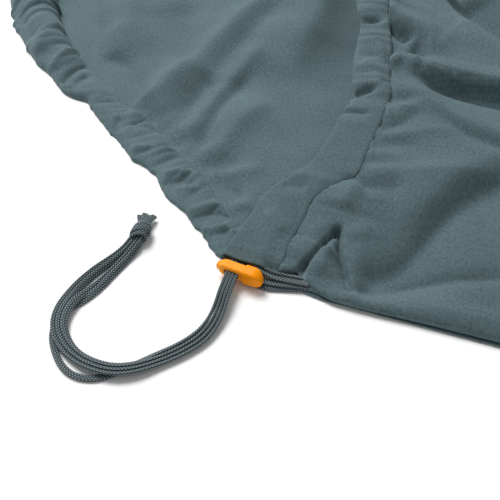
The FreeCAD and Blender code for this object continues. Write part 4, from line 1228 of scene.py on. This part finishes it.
def sewing():
    """Stitch rows: hood rim, chest casing, mouth of the exit and the side hems."""
    objects = bpy.data.objects
    hood, hood_tube = objects["hood_panel_cloth"], objects["hood_casing_cloth"]
    cover, chest = objects["top_panel_cloth"], objects["top_casing_cloth"]
    s = np.arange(34.0, RIM_LENGTH - 30.0, 0.9)
    row = resting_on([hood_tube, hood], rim(s, knots(s, CASING_DEPTH) - 1.6), -0.02)
    stitch_row("hood_rim_stitches", row, 1)
    y = np.arange(-353.0, 352.0, 0.9)
    row = resting_on([chest, cover], np.stack([knots(y, CHEST_STITCH) - 2.4, y], 1), -0.02)
    stitch_row("chest_stitches", row, 2)
    edge = [(-758.6, -353.0), (-756.6, -357.0), (-755.4, -360.5), (-753.0, -363.0)]
    line = spline(edge, 0.6)[0]
    row = resting_on([cover], line, 0.0)
    stitch_row("mouth_stitches", row, 3, 1.6, 0.3, 1.9 * MM)
    tack = [(-754.4 + 1.5 * (i % 2), -359.6 + 0.42 * i) for i in range(15)]
    row = resting_on([cover], tack, 0.0)
    tack = stitch_row("exit_tack", row, 4, 1.5, 0.26, 0.9 * MM)
    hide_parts("exit_bartack")
    for number, sign in enumerate((-1, 1)):
        points, _ = outline(9.0, 1.2)
        points = points[(points[:, 1] * sign > 1) & (points[:, 0] > -740)]
        stitch_row("hem_stitches_%d" % (number + 1), resting_on([cover], points, 0.0), 5 + number)


# ---------------------------------------------------------------- settings

def colour_setting(name, of, default):
    return bpy.props.StringProperty(name=name, description="sRGB hex colour of " + of, default=default)


def size_setting(name, description, default):
    return bpy.props.FloatProperty(name=name, description=description, default=default, unit="LENGTH",
                                   precision=5)


class QuiltCloth(bpy.types.PropertyGroup):
    dark: colour_setting("Darker yarn", "the yarn in shade", "3A4C51")
    light: colour_setting("Lighter yarn", "the brushed yarn", "5E7276")
    thread: colour_setting("Thread", "the sewing thread", "74858A")
    thread_pitch: size_setting("Thread spacing", "Spacing of the drawn weave", 0.0013)
    stitch_pitch: size_setting("Stitch spacing", "From one stitch to the next", 0.0027)


class QuiltCord(bpy.types.PropertyGroup):
    width: size_setting("Braid width", "Width of the flat braid", 0.0045)
    thickness: size_setting("Braid thickness", "Thickness of the flat braid", 0.0019)
    colour: colour_setting("Braid", "the braid", "56656A")
    # Painted shade colour of the braid's grooves and painted highlight colour of its raised loops.
    groove_shade: colour_setting("Painted shade in grooves", "the grooves between the plaits", "242D30")
    loop_and_highlight: colour_setting("Painted highlight on loops", "the raised loops", "9EAEB3")


class QuiltLock(bpy.types.PropertyGroup):
    barrel: colour_setting("Barrel", "the lock's barrel", "FF9E1E")
    button: colour_setting("Button", "the lock's button", "FF9600")


class QuiltStage(bpy.types.PropertyGroup):
    key_power: bpy.props.FloatProperty(name="Key light", description="Power of the large soft light above",
                                       default=94.0, unit="POWER")
    sky: bpy.props.FloatProperty(name="Room light", description="Strength of the even light all round",
                                 default=0.34, subtype="FACTOR")


# ---------------------------------------------------------------- operators

# Camera and key light, in metres and degrees.
CAMERA_PLACE = (-0.66414, -0.76172, 0.44287)
CAMERA_TURN, CAMERA_DOWN = 17.0, 45.0
KEY_PLACE = (-2.1, 0.9, 2.2)
KEY_AIM = (-0.75, -0.2, 0)


class QUILT_OT_camera(bpy.types.Operator):
    """Set the camera above the lock's corner of the quilt"""
    bl_idname = "quilt.camera"
    bl_label = "Camera"

    def execute(self, context):
        data = bpy.data.cameras.new("Camera")
        data.lens = 72.0
        data.sensor_width = 36.0
        data.clip_start = 0.01
        data.clip_end = 50.0
        camera = bpy.data.objects.new("Camera", data)
        context.scene.collection.objects.link(camera)
        turn, down = math.radians(CAMERA_TURN), math.radians(CAMERA_DOWN)
        right = Vector((math.cos(turn), math.sin(turn), 0))
        look = Vector((-math.sin(turn) * math.cos(down), math.cos(turn) * math.cos(down), -math.sin(down)))
        above = right.cross(look)
        camera.matrix_world = Matrix.Translation(CAMERA_PLACE) @ Matrix(
            (right, above, -look)).transposed().to_4x4()
        context.scene.camera = camera
        return {"FINISHED"}


class QUILT_OT_cords(bpy.types.Operator):
    """Lay the four flat braids of the tail and tie their knot"""
    bl_idname = "quilt.cords"
    bl_label = "Tail braids and knot"

    def execute(self, context):
        braids = tail_braids()
        knot = overhand_knot()
        drawcords()
        return {"FINISHED"}


class QUILT_OT_hood(bpy.types.Operator):
    """Lay the hood's cloth and gather its casing"""
    bl_idname = "quilt.hood"
    bl_label = "Hood"

    def execute(self, context):
        panel = hood_panel()
        casing = hood_casing()
        return {"FINISHED"}


class QUILT_OT_cover(bpy.types.Operator):
    """Spread the upper layer over the sleeper's place and gather its chest casing"""
    bl_idname = "quilt.cover"
    bl_label = "Upper layer"

    def execute(self, context):
        panel = top_panel()
        casing = top_casing()
        return {"FINISHED"}


class QUILT_OT_back(bpy.types.Operator):
    """Lay the lower layer, its seams and the foot panel"""
    bl_idname = "quilt.back"
    bl_label = "Lower layer and seams"

    def execute(self, context):
        panel = back_panel()
        seam("side_seam_near_cloth", -1, "side_seam_near")
        seam("side_seam_far_cloth", 1, "side_seam_far")
        foot = foot_panel()
        return {"FINISHED"}


class QUILT_OT_lock(bpy.types.Operator):
    """Finish the cord lock's barrel, button and spring"""
    bl_idname = "quilt.lock"
    bl_label = "Cord lock"

    def execute(self, context):
        look = context.scene.quilt_lock
        finishes = {
            "lock_barrel": (moulded_plastic("Moulded acetal, matt", look.barrel, 0.5, 0.25),
                            "lock_barrel_plastic"),
            "lock_button": (moulded_plastic("Moulded acetal, satin", look.button, 0.36, 0.1),
                            "lock_button_plastic"),
            "lock_spring": (drawn_steel(), "spring_steel"),
        }
        for name, (material, slot) in finishes.items():
            finish_node(name, material)
        return {"FINISHED"}


class QUILT_OT_bartacks(bpy.types.Operator):
    """Sew the rows of stitches and the dense bartacks"""
    bl_idname = "quilt.bartacks"
    bl_label = "Stitching"

    def execute(self, context):
        for name in ("hood_anchor_bartack", "top_anchor_bartack"):
            finish_node(name, thread())
        sewing()
        return {"FINISHED"}


class QUILT_OT_stage(bpy.types.Operator):
    """Lay the white sweep and set the soft light"""
    bl_idname = "quilt.stage"
    bl_label = "Stage"

    def execute(self, context):
        scene = context.scene
        bpy.ops.mesh.primitive_plane_add(size=30, location=(0, 0, -0.0002))
        floor = context.object
        floor.name = "paper_sweep"
        floor.data.materials.append(paper_backdrop())
        look = scene.quilt_stage
        world = bpy.data.worlds.new("Soft studio")
        scene.world = world
        world.use_nodes = True
        background = world.node_tree.nodes["Background"]
        background.inputs["Color"].default_value = (1, 1, 1, 1)
        background.inputs["Strength"].default_value = look.sky
        data = bpy.data.lights.new("Key", "AREA")
        data.size = 1.6
        data.energy = look.key_power
        lamp = bpy.data.objects.new("Key", data)
        scene.collection.objects.link(lamp)
        lamp.location = KEY_PLACE
        lamp.rotation_euler = (Vector(KEY_AIM) - Vector(KEY_PLACE)).to_track_quat("-Z", "Y").to_euler()
        scene.view_settings.view_transform = "Standard"
        return {"FINISHED"}


class QUILT_PT_panel(bpy.types.Panel):
    bl_idname = "QUILT_PT_panel"
    bl_label = "Camp quilt"
    bl_space_type = "VIEW_3D"
    bl_region_type = "UI"
    bl_category = "Camp quilt"

    def draw(self, context):
        layout = self.layout
        for group in ("quilt_cloth", "quilt_cord", "quilt_lock", "quilt_stage"):
            settings = getattr(context.scene, group)
            for name in settings.__annotations__:
                layout.prop(settings, name)
        for operator in OPERATORS:
            layout.operator(operator.bl_idname)


GROUPS = {"quilt_cloth": QuiltCloth, "quilt_cord": QuiltCord, "quilt_lock": QuiltLock,
          "quilt_stage": QuiltStage}
OPERATORS = [QUILT_OT_camera, QUILT_OT_cords, QUILT_OT_lock, QUILT_OT_hood, QUILT_OT_cover, QUILT_OT_back,
             QUILT_OT_bartacks, QUILT_OT_stage]
CLASSES = list(GROUPS.values()) + OPERATORS + [QUILT_PT_panel]


def register():
    for item in CLASSES:
        bpy.utils.register_class(item)
    for name, group in GROUPS.items():
        setattr(bpy.types.Scene, name, bpy.props.PointerProperty(type=group))


def unregister():
    for name in GROUPS:
        delattr(bpy.types.Scene, name)
    for item in reversed(CLASSES):
        bpy.utils.unregister_class(item)


def main():
    register()
    bpy.ops.quilt.camera()
    bpy.ops.quilt.cords()
    bpy.ops.quilt.lock()
    bpy.ops.quilt.hood()
    bpy.ops.quilt.cover()
    bpy.ops.quilt.back()
    bpy.ops.quilt.bartacks()
    bpy.ops.quilt.stage()


if __name__ == "__main__":
    main()
